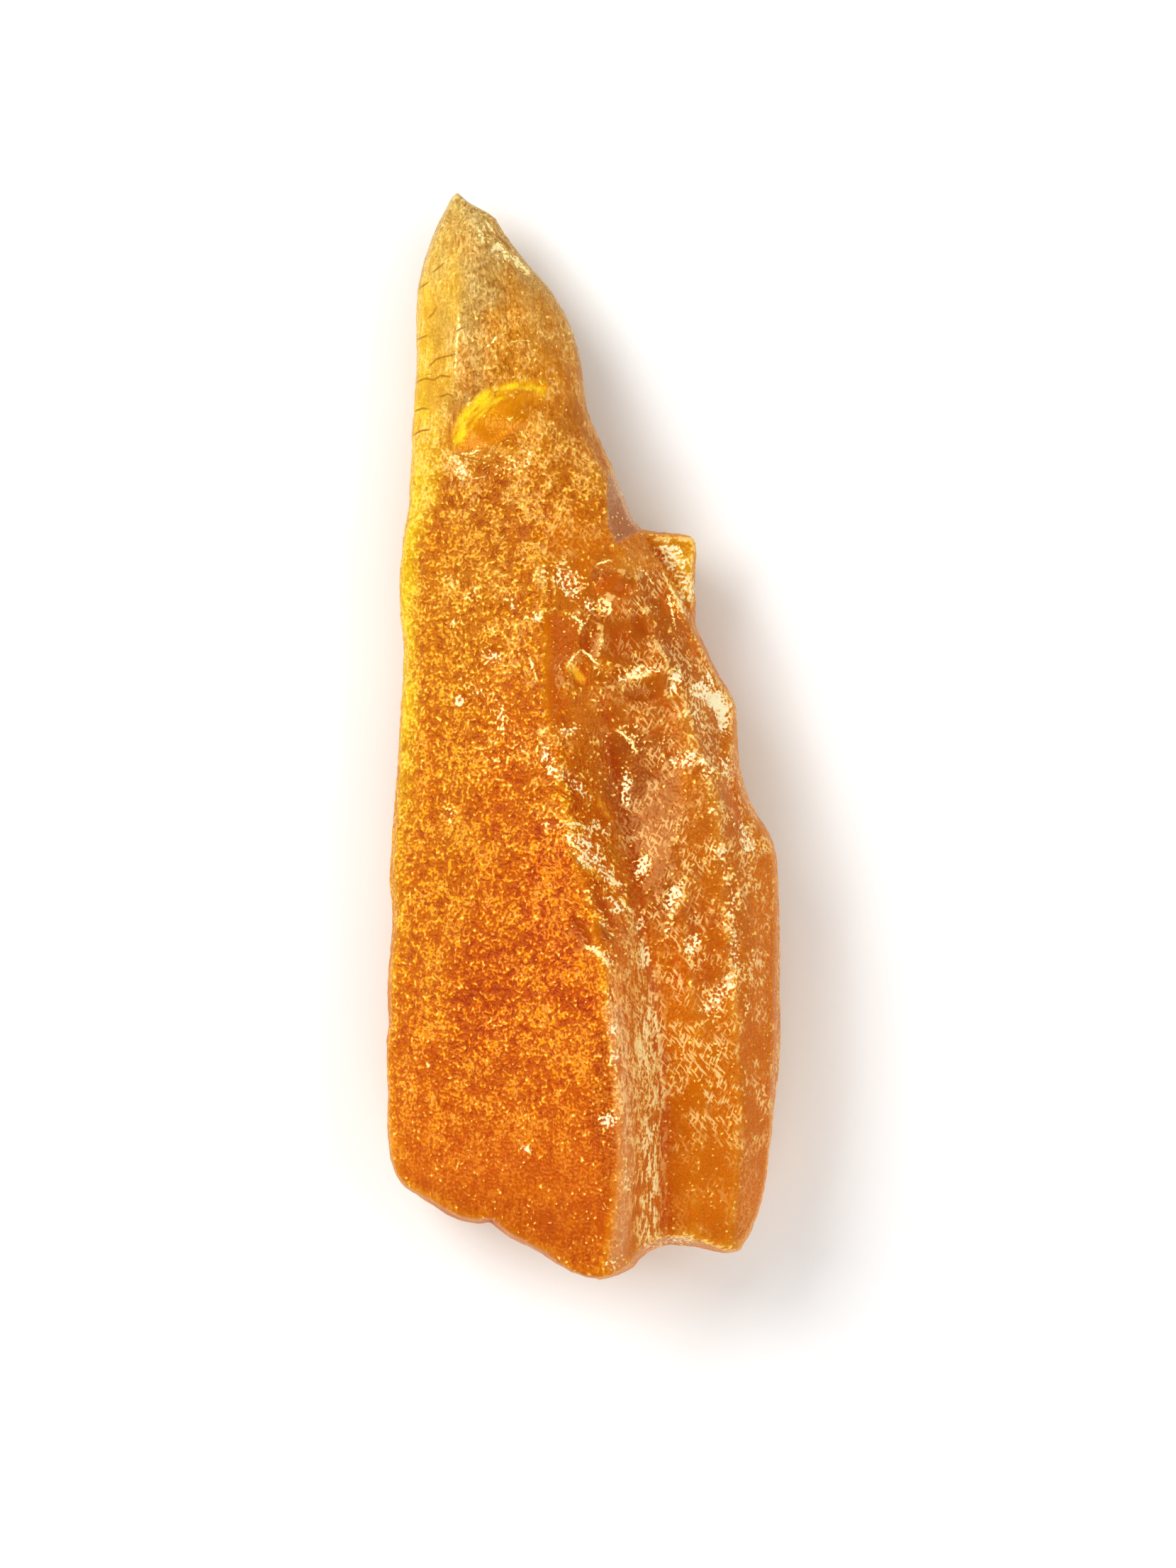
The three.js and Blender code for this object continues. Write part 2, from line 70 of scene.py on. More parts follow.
STATIONS = [
  [272, [630, 2.6], [634, 2.8], [638, 2.9], [642, 3.0], [645, 3.0], [648, 2.9], [652, 2.8], [656, 2.6]],
  [300, [621, 2.9], [632, 3.2], [642, 3.4], [655, 3.8], [664, 3.7], [672, 3.5], [682, 3.2], [694, 2.8]],
  [340, [605, 3.1], [622, 3.5], [642, 3.9], [668, 4.6], [682, 4.3], [695, 4.0], [708, 3.6], [722, 3.0]],
  [400, [589, 3.2], [610, 3.8], [640, 4.4], [680, 5.2], [705, 4.8], [730, 4.5], [752, 4.0], [772, 3.2]],
  [460, [586, 3.3], [610, 4.1], [645, 4.8], [695, 5.6], [725, 5.2], [755, 4.9], [785, 4.3], [806, 3.5]],
  [520, [586, 3.4], [612, 4.3], [650, 5.1], [705, 5.9], [738, 5.6], [770, 5.3], [798, 4.8], [820, 3.8]],
  [600, [581, 3.5], [610, 4.5], [660, 5.4], [720, 6.2], [755, 6.1], [790, 5.8], [818, 5.3], [838, 4.2]],
  [680, [577, 3.6], [610, 4.7], [665, 5.8], [735, 6.6], [780, 6.7], [820, 6.6], [853, 6.2], [872, 4.6]],
  [760, [568, 3.7], [605, 4.8], [670, 6.1], [750, 7.1], [800, 7.3], [840, 7.2], [862, 6.9], [910, 5.1]],
  [820, [562, 3.7], [600, 4.9], [675, 6.3], [760, 7.5], [815, 7.1], [860, 7.3], [905, 7.1], [942, 5.9]],
  [900, [567, 3.8], [602, 5.0], [680, 6.5], [772, 8.0], [820, 7.2], [880, 7.5], [940, 7.5], [974, 6.3]],
  [1000, [564, 3.9], [600, 5.1], [680, 6.7], [772, 8.5], [845, 7.3], [915, 7.7], [985, 7.7], [1038, 5.4]],
  [1100, [557, 4.0], [600, 5.3], [690, 7.1], [792, 9.1], [868, 7.5], [935, 8.0], [1005, 8.1], [1050, 5.7]],
  [1200, [551, 4.1], [600, 5.5], [700, 7.5], [814, 9.8], [890, 7.9], [948, 8.4], [1018, 8.5], [1095, 5.4]],
  [1300, [553, 4.2], [600, 5.6], [710, 7.8], [842, 10.5], [905, 8.5], [958, 8.8], [1028, 8.7], [1099, 5.5]],
  [1400, [546, 4.3], [600, 5.8], [720, 8.1], [855, 11.0], [922, 8.6], [975, 8.9], [1035, 8.6], [1100, 5.7]],
  [1500, [545, 4.4], [600, 5.9], [725, 8.3], [869, 11.4], [932, 8.5], [982, 8.8], [1040, 8.3], [1098, 5.8]],
  [1600, [547, 4.5], [605, 6.0], [730, 8.4], [876, 11.4], [936, 8.3], [986, 8.6], [1042, 8.1], [1087, 5.9]],
  [1700, [570, 4.8], [620, 6.2], [735, 8.3], [868, 11.0], [938, 8.0], [980, 8.3], [1036, 7.8], [1074, 5.9]],
  [1800, [590, 4.8], [640, 6.0], [740, 7.9], [848, 10.4], [938, 7.6], [972, 7.9], [1026, 7.4], [1060, 5.7]],
]
SPUR_EDGE = [[900, 740], [912, 765], [925, 790], [945, 832], [962, 868], [981, 905], [1000, 940]]
FACETS = [
  [[547, 1500, 2.2], [588, 480, 1.9], [672, 1000, 0]], # left, below
  [[1100, 1400, 2.8], [1040, 1010, 2.4], [950, 1230, 0]], # right, below
  [[838, 600, 1.9], [908, 745, 1.6], [748, 745, 0]], # upper right, below
  [[642, 266, 1.3], [700, 297, 1.4], [672, 520, 0]], # point, below
  [[560, 1670, 2.4], [750, 1757, 2.9], [690, 1570, 0]], # broken end, below
  [[850, 1798, 3.2], [1050, 1760, 3.0], [935, 1610, 0]], # broken end, below right
  [[990, 770, 1.5], [987, 880, 1.2], [885, 800, 0]], # spur, below
  [[590, 1700, 3.7], [842, 1809, 8.2], [735, 1672, 1.0]], # broken end, left of the crest
  [[842, 1809, 8.0], [1042, 1775, 5.5], [950, 1697, 0.9]], # broken end, right of the crest
  [[1113, 1250, 4.0], [1108, 1570, 4.1], [1075, 1410, 0.7]], # right side
  [[1049, 1010, 3.9], [1104, 1200, 3.9], [1036, 1150, 0.7]], # right side, above the widest stretch
  [[567, 690, 2.6], [557, 950, 2.8], [586, 820, 0.9]], # left side
  [[541, 1240, 3.0], [537, 1560, 3.1], [567, 1400, 0.9]], # left side, towards the broken end
]
BEVELS = [
  [[873, 668, 5.5], [909, 745, 5.5], [848, 735, 7.5]], # above the spur
]
BREAKS = [
  [884, 1115, 5.6, 2.9, 0.55, -8],
  [905, 862, 3.6, 1.7, 0.45, -24],
  [703, 592, 2.6, 1.25, 0.5, 58],
  [1012, 1010, 2.3, 1.2, 0.4, -12],
  [1010, 1330, 5.0, 1.6, 0.3, 4],
]

# ==== finer settings of the visible surface =========================================================
CELL = 0.175  # mm, size of the surface cells
EDGE = 0.075  # mm, rounding where two broken faces meet
SWELL = 0.02


def X(tx):
    return (tx - MID_X) * U + SHIFT[0]


def Y(ty):
    return (MID_Y - ty) * U + SHIFT[1]


def TX(x):
    return (x - SHIFT[0]) / U + MID_X


def TY(y):
    return MID_Y - (y - SHIFT[1]) / U


# ==== small maths ====================================================================================
def noise(x, y, z):
    """Smooth noise from -1 to 1, the same as in the CAD part."""
    x, y, z = np.broadcast_arrays(x, y, z)
    i, j, k = np.floor(x), np.floor(y), np.floor(z)

    def fade(t):
        return t * t * (3 - 2 * t)

    u, v, w = fade(x - i), fade(y - j), fade(z - k)

    def at(a, b, c):
        s = np.sin((i + a) * 127.1 + (j + b) * 311.7 + (k + c) * 74.7) * 43758.5453
        return s - np.floor(s)

    def mix(a, b, t):
        return a + (b - a) * t

    low = mix(mix(at(0, 0, 0), at(1, 0, 0), u), mix(at(0, 1, 0), at(1, 1, 0), u), v)
    high = mix(mix(at(0, 0, 1), at(1, 0, 1), u), mix(at(0, 1, 1), at(1, 1, 1), u), v)
    return mix(low, high, w) * 2 - 1


def fbm(x, y, z, octaves=3, gain=0.5):
    total, size, scale = 0.0, 1.0, 1.0
    for o in range(octaves):
        total = total + size * noise(x * scale + 3.7 * o, y * scale - 1.9 * o, z * scale + 5.3 * o)
        size *= gain
        scale *= 2.03
    return total


def round_max(a, b, r):
    h = np.maximum(r - np.abs(a - b), 0)
    return np.maximum(a, b) + h * h / (4 * r)


def step(lo, hi, x):
    t = np.clip((x - lo) / (hi - lo), 0, 1)
    return t * t * (3 - 2 * t)


def to_line(x, y, points, closed=False):
    """Distance from (x, y) to a line through points, in the points' units."""
    best = np.full(np.shape(x), 1e9)
    pts = list(points) + ([points[0]] if closed else [])
    for (ax, ay), (bx, by) in zip(pts[:-1], pts[1:]):
        dx, dy = bx - ax, by - ay
        t = np.clip(((x - ax) * dx + (y - ay) * dy) / (dx * dx + dy * dy + 1e-12), 0, 1)
        best = np.minimum(best, np.hypot(x - ax - t * dx, y - ay - t * dy))
    return best


def signed(x, y, points):
    """Signed distance to a closed outline, negative inside."""
    d = to_line(x, y, points, True)
    inside = np.zeros(np.shape(x), bool)
    for (ax, ay), (bx, by) in zip(points, points[1:] + points[:1]):
        cross = ((ay > y) != (by > y)) & (x < (bx - ax) * (y - ay) / (by - ay + 1e-12) + ax)
        inside ^= cross
    return np.where(inside, -d, d)


def patch(tx, ty, points, soft=8):
    """1 inside a closed outline, falling to 0 over soft table units outside it."""
    return 1 - step(-soft * 0.5, soft * 0.5, signed(tx, ty, points))


def spot(tx, ty, cx, cy, rx, ry, turn=0):
    """1 in the middle of an ellipse, falling to 0 at its edge. turn is in degrees, clockwise on the table."""
    a = math.radians(turn)
    u = ((tx - cx) * math.cos(a) + (ty - cy) * math.sin(a)) / rx
    v = (-(tx - cx) * math.sin(a) + (ty - cy) * math.cos(a)) / ry
    return np.clip(1 - (u * u + v * v), 0, 1)


def along(tx, ty, points, wide):
    """1 on a line, falling to 0 at wide table units from it."""
    return np.clip(1 - to_line(tx, ty, points) / wide, 0, 1)


# ==== the top face =====================================================================================
def line_at(k, ty):
    """Place and height of one of the eight lengthwise lines, at each table y."""
    ys = np.array([s[0] for s in STATIONS], float)
    n = len(ys)
    i = np.clip(np.searchsorted(ys, ty, side="left") - 1, 0, n - 2)
    y0, y1 = ys[i], ys[i + 1]
    t = np.clip((ty - y0) / (y1 - y0), 0, 1)
    out = []
    for c in (0, 1):
        v = np.array([s[k + 1][c] for s in STATIONS], float)
        a, b = v[i], v[i + 1]
        before = np.where(i > 0, (b - v[np.maximum(i - 1, 0)]) / (y1 - ys[np.maximum(i - 1, 0)]), (b - a) / (y1 - y0))
        ahead = np.minimum(i + 2, n - 1)
        after = np.where(i < n - 2, (v[ahead] - a) / (ys[ahead] - y0 + 1e-12), (b - a) / (y1 - y0))
        m0, m1 = before * (y1 - y0), after * (y1 - y0)
        t2, t3 = t * t, t * t * t
        out.append((2 * t3 - 3 * t2 + 1) * a + (t3 - 2 * t2 + t) * m0 + (-2 * t3 + 3 * t2) * b + (t3 - t2) * m1)
    return out


def lines_at(ty):
    both = [line_at(k, ty) for k in range(8)]
    return np.array([b[0] for b in both]), np.array([b[1] for b in both])


def top_at(tx, px, pz):
    """Height straight between neighbouring lines. px and pz hold the lines' places and heights for each point."""
    tx = np.clip(tx, px[0] - 8, px[7] + 8)
    z = pz[0] + (pz[1] - pz[0]) * (tx - px[0]) / (px[1] - px[0])
    for k in range(1, 7):
        zk = pz[k] + (pz[k + 1] - pz[k]) * (tx - px[k]) / (px[k + 1] - px[k])
        z = np.where(tx > px[k], zk, z)
    return z


def plane_of(points):
    p, q, r = (np.array([X(x), Y(y), z]) for x, y, z in points)
    n = np.cross(q - p, r - p)
    return n, p


def spur_edge(ty):
    ex = np.array([p[0] for p in SPUR_EDGE], float)
    ey = np.array([p[1] for p in SPUR_EDGE], float)
    inside = np.interp(ty, ey, ex)
    first = ex[0] + (ex[1] - ex[0]) * (ty - ey[0]) / (ey[1] - ey[0])
    last = ex[-2] + (ex[-1] - ex[-2]) * (ty - ey[-2]) / (ey[-1] - ey[-2])
    return np.where(ty < ey[0], first, np.where(ty > ey[-1], last, inside))


def top(tx, ty):
    ty = np.clip(ty, 272, 1800)
    px, pz = lines_at(ty)
    z = (top_at(tx - 5, px, pz) + 2 * top_at(tx, px, pz) + top_at(tx + 5, px, pz)) / 4
    z = z + WAVE * (noise(tx / 85, ty / 120, 1.5) + 0.5 * noise(tx / 40, ty / 55, 7.5))
    for points in BEVELS:
        n, p = plane_of(points)
        z = np.minimum(z, p[2] - (n[0] * (X(tx) - p[0]) + n[1] * (Y(ty) - p[1])) / n[2])
    edge = spur_edge(ty)
    past = (tx - edge) * U
    low = SPUR_TOP + 0.9 * np.maximum(0, (ty - 880) / 85) + 0.2 * noise(tx / 22, ty / 22, 3.5)
    drop = np.maximum(low, top_at(edge, px, pz) - 3.2 * past)
    z = np.where((ty > 735) & (ty < SPUR_END) & (past > 0), drop, z)
    for bx, by, length, width, depth, turn in BREAKS:
        a = math.radians(turn)
        dx, dy = (tx - bx) * U, (by - ty) * U
        u = (dx * math.cos(a) + dy * math.sin(a)) / width
        v = (-dx * math.sin(a) + dy * math.cos(a)) / length
        q = u * u + v * v
        z = z - depth * np.maximum(0, 1 - q)
    return z


# ==== fine relief of the top face =======================================================================
# Outlines and lines of the broken areas, on the table.
WINDOWS = [  # smooth, clear little faces beside the crest
    [
        [762, 876], [780, 868], [806, 872], [814, 906], [806, 930], [796, 940], [794, 968], [796, 996], [786, 1022], [782, 1048],
        [766, 1060], [750, 1046], [747, 1000], [755, 962], [753, 930], [762, 900],
    ],
    [[862, 890], [884, 888], [896, 902], [890, 922], [868, 930], [856, 912]],
]
LENS = [[644, 622], [656, 604], [670, 590], [696, 571], [720, 559], [750, 553], [766, 560], [761, 578], [738, 606], [708, 626], [672, 638], [648, 640]]
LENS_RIM = [[640, 612], [654, 588], [672, 570], [694, 556], [716, 548], [744, 543], [774, 546]]
BEVEL_FACE = [[861, 660], [868, 674], [884, 708], [903, 748], [870, 768], [859, 745], [857, 700]]
MAUVE = [[846, 1035], [900, 1022], [962, 1030], [968, 1180], [952, 1290], [905, 1305], [884, 1210], [852, 1120]]
SCALLOPS = [[828, 800], [930, 800], [982, 890], [985, 960], [905, 1005], [832, 965], [812, 880]]
BAND = [[872, 1300], [900, 1300], [936, 1400], [940, 1560], [936, 1752], [878, 1778], [878, 1600], [868, 1470], [858, 1380]]
HACKLES = [[782, 1075], [806, 1105], [830, 1155], [842, 1210], [858, 1262], [870, 1300], [862, 1352]]
RIGHT_RIM = [[1094, 1180], [1100, 1240], [1100, 1330], [1101, 1420], [1101, 1490], [1096, 1530]]
CRUMBLE = [[1012, 1195], [1022, 1228], [1034, 1262], [1026, 1300], [1036, 1346], [1022, 1392], [1004, 1418]]
BIG_CHIP = [[990, 952], [1003, 968], [1022, 980], [1034, 1000], [1027, 1036], [1011, 1032], [1001, 1001], [980, 986], [974, 970]]
# Small shell-shaped flakes: [x, y, half width, half height, depth in mm, turn]
FLAKES = [
    [862, 822, 34, 17, 0.20, 28], [905, 838, 26, 15, 0.16, 40], [846, 866, 20, 14, 0.16, 10], [905, 880, 24, 15, 0.16, 60],
    [940, 905, 26, 14, 0.18, 52], [915, 935, 24, 12, 0.14, 8], [875, 955, 26, 13, 0.15, -12], [832, 905, 16, 26, 0.18, 12],
    [818, 955, 14, 22, 0.14, -18], [950, 968, 17, 11, 0.15, 70], [858, 1000, 30, 14, 0.12, 80], [905, 985, 30, 13, 0.12, 5],
    [945, 1000, 22, 14, 0.12, -20], [800, 822, 24, 13, 0.14, 48], [762, 850, 22, 12, 0.10, 20], [724, 858, 16, 11, 0.10, 0],
    [693, 926, 18, 11, 0.10, -10], [650, 985, 12, 9, 0.10, 0], [735, 970, 16, 22, 0.10, 10], [776, 1062, 18, 14, 0.13, -35],
    [806, 1100, 20, 12, 0.13, 40], [680, 330, 14, 10, 0.10, 30], [702, 352, 15, 10, 0.13, 40], [738, 378, 16, 8, 0.12, 48],
    [716, 330, 12, 9, 0.08, 50], [903, 1224, 13, 18, 0.12, 8], [948, 1262, 12, 20, 0.12, 20], [975, 1325, 14, 17, 0.12, 15],
    [1022, 1215, 13, 18, 0.14, 0], [1028, 1262, 12, 20, 0.14, 0], [1012, 1298, 12, 12, 0.12, 0], [1034, 1340, 13, 16, 0.13, -20],
    [1020, 1392, 16, 12, 0.12, -40], [1046, 1166, 11, 18, 0.16, -28], [1056, 1190, 12, 13, 0.16, -30], [1026, 1120, 12, 26, 0.12, -20],
    [1016, 1068, 14, 20, 0.12, 0], [960, 1075, 20, 12, 0.10, 12], [990, 1090, 16, 13, 0.10, 0], [940, 800, 16, 26, 0.22, -24],
    [965, 832, 13, 26, 0.20, -12], [960, 775, 18, 12, 0.14, 0], [726, 1748, 26, 12, 0.26, 24], [772, 1768, 26, 11, 0.20, 24],
    [862, 1450, 10, 14, 0.09, 0], [870, 1492, 9, 18, 0.10, 0], [858, 1572, 13, 12, 0.10, 0], [640, 1236, 30, 22, 0.06, 20],
    [700, 1440, 36, 26, 0.06, -15], [620, 1060, 26, 30, 0.05, 10], [745, 1230, 34, 26, 0.07, 30], [660, 760, 30, 22, 0.06, -20],
]


def fine(tx, ty):
    """What the fine relief adds to the top face, in mm, over what the CAD part has."""
    z = 0.0
    # undulation of the frosted rind, and slow grain
    z = z + 0.05 * fbm(tx / 34, ty / 46, 2.1, 3)
    # flake scars, sharp at their rims
    wob = 1 + 0.28 * noise(tx / 9, ty / 9, 4.4)
    for cx, cy, rx, ry, depth, turn in FLAKES:
        near = (np.abs(tx - cx) < rx + ry) & (np.abs(ty - cy) < rx + ry)
        q = spot(tx[near], ty[near], cx, cy, rx, ry, turn)
        z[near] -= depth * np.minimum(1, q * 1.7 * wob[near])
    # smooth little faces, let in a little
    for points in WINDOWS:
        d = signed(tx, ty, points) + 5.0 * noise(tx / 11, ty / 14, 8.8)
        z -= 0.01 * (1 - step(-18, 6, d))
    # the lens-shaped scar: a steep wall on the side towards the point, then a slow slope out
    d = signed(tx, ty, LENS) + 3.0 * noise(tx / 13, ty / 13, 2.2)
    z -= 0.11 * (1 - step(-26, 3, d))
    z += 0.10 * step(0, 1, np.clip(1 - to_line(tx, ty, LENS_RIM) / 13, 0, 1)) * step(-0.8, 0.6, noise(tx / 12, ty / 12, 5.2))
    # torn ridges that run down and right from the crest
    w = np.clip(1 - to_line(tx, ty, HACKLES) / 40, 0, 1) * step(-6, 14, tx - np.interp(ty, [p[1] for p in HACKLES], [p[0] for p in HACKLES]) + 22)
    s = (-0.72 * tx + 0.69 * ty) / 13.5 + 0.55 * noise(tx / 30, ty / 30, 6.1) + 0.25 * noise(tx / 8, ty / 8, 3.1)
    saw = s - np.floor(s)
    z += 0.17 * w * (saw - 0.5) * (0.65 + 0.5 * noise(tx / 14, ty / 14, 12.2))
    # the crest near the point wanders and is blunt
    w = step(560, 440, ty)
    z += w * (0.05 * noise(tx / 16, ty / 30, 14.4) + 0.035 * noise(tx / 7, ty / 18, 2.4))
    z -= 0.10 * w * np.clip(1 - to_line(tx, ty, [[645, 290], [668, 340], [680, 400], [695, 460], [705, 520]]) / 14, 0, 1)
    # long wavy striations on the band below the crest and on the lit strip near the point
    w = patch(tx, ty, BAND, 12)
    z += 0.045 * w * noise(tx / 4.2, ty / 46, 2.7) + 0.03 * w * noise(tx / 2.6, ty / 24, 5.2)
    w = np.clip(1 - to_line(tx, ty, [[662, 300], [676, 400], [690, 470], [712, 560]]) / 46, 0, 1)
    z += 0.07 * np.sqrt(w) * noise(tx / 6.2 + ty / 60, ty / 21, 9.7)
    # fine radial lines in the hollow face
    w = patch(tx, ty, MAUVE, 20)
    ang = np.arctan2(tx - 862, ty - 980)
    z += 0.028 * w * noise(ang * 46, np.hypot(tx - 862, ty - 980) / 60, 3.3)
    # the bruised chip, and the crumbling ridge on the right face
    d = signed(tx, ty, BIG_CHIP) + 4 * noise(tx / 8, ty / 8, 14.2)
    z -= 0.22 * (1 - step(-9, 0, d)) * (0.75 + 0.45 * noise(tx / 7, ty / 9, 1.7))
    w = along(tx, ty, CRUMBLE, 17)
    z -= 0.12 * w * step(-0.1, 0.35, noise(tx / 6.5, ty / 7.5, 18.8))
    # the lip of the big face, over the streaked band
    w = along(tx, ty, [[860, 1385], [868, 1470], [873, 1540], [877, 1600], [871, 1680], [862, 1740]], 7)
    z -= 0.06 * w * (0.6 + 0.6 * noise(tx / 9, ty / 13, 7.4))
    return z


# ==== sides and underside =================================================================================
def facet_planes():
    inner = np.array([0, -4, 4.0])
    out = []
    for points in FACETS:
        n, p = plane_of(points)
        n = n / np.linalg.norm(n)
        if n @ (inner - p) > 0:
            n = -n
        out.append((n, n @ p))
    return out


PLANES = facet_planes()
# Scars: balls that cut shallow shells out of the sides and the underside. Each is
# [table x, table y, height of the place, facing x, y, z, ball radius, depth], all in mm past the first two.
rng = np.random.default_rng(20417)


def scars():
    made = []
    ring = np.array([(X(a), Y(b)) for a, b in OUTLINE])
    nxt = np.roll(ring, -1, 0)
    lens = np.hypot(*(nxt - ring).T)
    total = lens.sum()
    for s in np.arange(0.8, total, 2.15):
        s = s + rng.uniform(-0.7, 0.7)
        i = int(np.searchsorted(np.cumsum(lens), s % total))
        t = rng.uniform(0, 1)
        p = ring[i] * (1 - t) + nxt[i] * t
        d = (nxt[i] - ring[i]) / lens[i]
        out = np.array([-d[1], d[0]])
        # the outline runs round with the shard on its right or left: point away from the shard
        if signed(np.array([TX(p[0] + out[0] * 0.3)]), np.array([TY(p[1] + out[1] * 0.3)]), OUTLINE)[0] < 0:
            out = -out
        low = rng.uniform(0.18, 0.5)
        r = rng.uniform(1.6, 4.6)
        tilt = rng.uniform(-0.75, -0.25)
        n = np.array([out[0], out[1], tilt])
        n /= np.linalg.norm(n)
        made.append((p, low, n, r, rng.uniform(0.12, 0.42)))
    return made


SCARS = scars()


def make_field():
    """The signed field of the shard on a grid, exact near the surface."""
    lo = np.array([X(545) - 0.7, Y(1798) - 0.7, -0.7])
    hi = np.array([X(1101) + 0.7, Y(262) + 0.7, 12.2])
    n = np.ceil((hi - lo) / CELL).astype(int) + 1
    xs, ys, zs = (lo[c] + CELL * np.arange(n[c]) for c in range(3))
    gx, gy = np.meshgrid(xs, ys, indexing="ij")
    tx, ty = TX(gx), TY(gy)
    flat = signed(tx, ty, OUTLINE) * U - SWELL
    t0 = top(tx, ty)
    t = t0 + fine(tx, ty)
    bed = -BED_DEPTH + 0.3 * noise(gx / 3.1 + 20, gy / 4.3, 9.5)
    widest = (WIDEST + 0.1 * noise(gx / 5.5, gy / 5.5, 21.5)) * t0
    lean = SIDE_LEAN * (1 + 0.8 * noise(gx / 4.1, gy / 4.1, 31.5))
    z3 = zs[None, None, :]
    rise = z3 - widest[:, :, None]
    wall = flat[:, :, None] + np.where(rise > 0, lean[:, :, None] * rise, -SIDE_UNDERCUT * rise)
    # the height as a distance: over the slope of the top face
    sx, sy = np.gradient(t, CELL)
    slope = 1 / np.sqrt(1 + np.minimum(sx * sx + sy * sy, 6))
    f = np.maximum(np.maximum((z3 - t[:, :, None]) * slope[:, :, None], bed[:, :, None] - z3), wall)
    rough = f.copy()
    for nrm, c in PLANES:
        rough = np.maximum(rough, nrm[0] * xs[:, None, None] + nrm[1] * ys[None, :, None] + nrm[2] * z3 - c)
    i, j, k = np.nonzero(np.abs(rough) < 0.85)
    px, py, pz = xs[i], ys[j], zs[k]
    a = (pz - t[i, j]) * slope[i, j]
    b = bed[i, j] - pz
    w = wall[i, j, k]
    shell = round_max(round_max(a, b, EDGE), w, EDGE)
    d = None
    for m, (nrm, c) in enumerate(PLANES):
        e = nrm[0] * px + nrm[1] * py + nrm[2] * pz - c + 0.2 * noise(px / 2.6, py / 2.9, pz / 2.9 + 11.5 + m * 3)
        d = e if d is None else round_max(d, e, EDGE)
    exact = round_max(shell, d, EDGE)
    # shell-shaped scars on the sides
    for p, low, nrm, r, depth in SCARS:
        ii = int(np.clip(np.searchsorted(xs, p[0]), 0, n[0] - 1))
        jj = int(np.clip(np.searchsorted(ys, p[1]), 0, n[1] - 1))
        h = low * t0[ii, jj]
        c = np.array([p[0], p[1], h]) + nrm * (r - depth) - np.array([0, 0, 0.0])
        near = (np.abs(px - c[0]) < r + 0.2) & (np.abs(py - c[1]) < r + 0.2) & (np.abs(pz - c[2]) < r + 0.2)
        ball = r - np.sqrt((px[near] - c[0]) ** 2 + (py[near] - c[1]) ** 2 + (pz[near] - c[2]) ** 2)
        exact[near] = round_max(exact[near], ball, 0.05)
    # the flat bed the shard lies on, and nothing below it
    exact = np.maximum(exact, -pz)
    rough = np.maximum(rough, -z3)
    rough[i, j, k] = exact
    return lo, n, rough


def surface_net(lo, n, f):
    """Quads of the zero surface of f, one point in each cell that it crosses."""
    s = f < 0
    c = s[:-1, :-1, :-1]
    mixed = np.zeros(c.shape, bool)
    sl = lambda a, b, d: (slice(a, a - 1 or None), slice(b, b - 1 or None), slice(d, d - 1 or None))
    corners = [(a, b, d) for a in (0, 1) for b in (0, 1) for d in (0, 1)]
    for q in corners:
        mixed |= s[sl(*q)] != c
    i, j, k = np.nonzero(mixed)
    val = {q: f[i + q[0], j + q[1], k + q[2]] for q in corners}
    total = np.zeros((len(i), 3))
    count = np.zeros(len(i))
    for q in corners:
        for axis in range(3):
            if q[axis]:
                continue
            r = tuple(1 if m == axis else q[m] for m in range(3))
            va, vb = val[q], val[r]
            cross = (va < 0) != (vb < 0)
            t = np.where(cross, va / np.where(cross, va - vb, 1), 0)
            pos = np.tile(np.array(q, float), (len(i), 1))
            pos[:, axis] += t
            total += pos * cross[:, None]
            count += cross
    points = lo + CELL * (np.stack([i, j, k], 1) + total / count[:, None])
    index = np.full(f.shape, -1, np.int64)
    index[i, j, k] = np.arange(len(i))
    quads = []
    for axis in range(3):
        u, v = [(1, 2), (2, 0), (0, 1)][axis]
        a = s[tuple(slice(None, -1) if m == axis else slice(None) for m in range(3))]
        b = s[tuple(slice(1, None) if m == axis else slice(None) for m in range(3))]
        g = np.stack(np.nonzero(a != b), 1)
        g = g[(g[:, u] > 0) & (g[:, v] > 0)]
        du, dv = np.zeros(3, int), np.zeros(3, int)
        du[u], dv[v] = 1, 1
        ids = [index[tuple((g - x).T)] for x in (0 * du, du, du + dv, dv)]
        q = np.stack(ids, 1)
        out = s[tuple(g.T)]  # solid before the step: the face looks along +axis
        q[~out] = q[~out][:, ::-1]
        quads.append(q)
    return points, np.concatenate(quads)


lo, n, field = make_field()
points, quads = surface_net(lo, n, field)


def bad_edges(quads):
    """Points on edges that don't have exactly two faces."""
    e = np.concatenate([np.sort(quads[:, [a, (a + 1) % 4]], 1) for a in range(4)])
    code = e[:, 0].astype(np.int64) * (quads.max() + 1) + e[:, 1]
    uniq, counts = np.unique(code, return_counts=True)
    wrong = uniq[counts != 2]
    return np.unique(np.concatenate([wrong // (quads.max() + 1), wrong % (quads.max() + 1)])).astype(int)


for _ in range(12):  # even the field out where the net pinches, until it is a clean closed surface
    wrong = bad_edges(quads)
    if not len(wrong):
        break
    for c in np.unique(np.round((points[wrong] - lo) / CELL).astype(int), axis=0):
        a, b = np.maximum(c - 2, 1), np.minimum(c + 3, n - 1)
        core = tuple(slice(x, y) for x, y in zip(a, b))
        total = sum(
            field[tuple(slice(x + (s if m == ax else 0), y + (s if m == ax else 0)) for m, (x, y) in enumerate(zip(a, b)))]
            for ax in range(3) for s in (-1, 1)
        )
        field[core] = 0.4 * field[core] + 0.1 * total
    points, quads = surface_net(lo, n, field)
if len(bad_edges(quads)):
    raise RuntimeError("the shard's surface isn't closed")


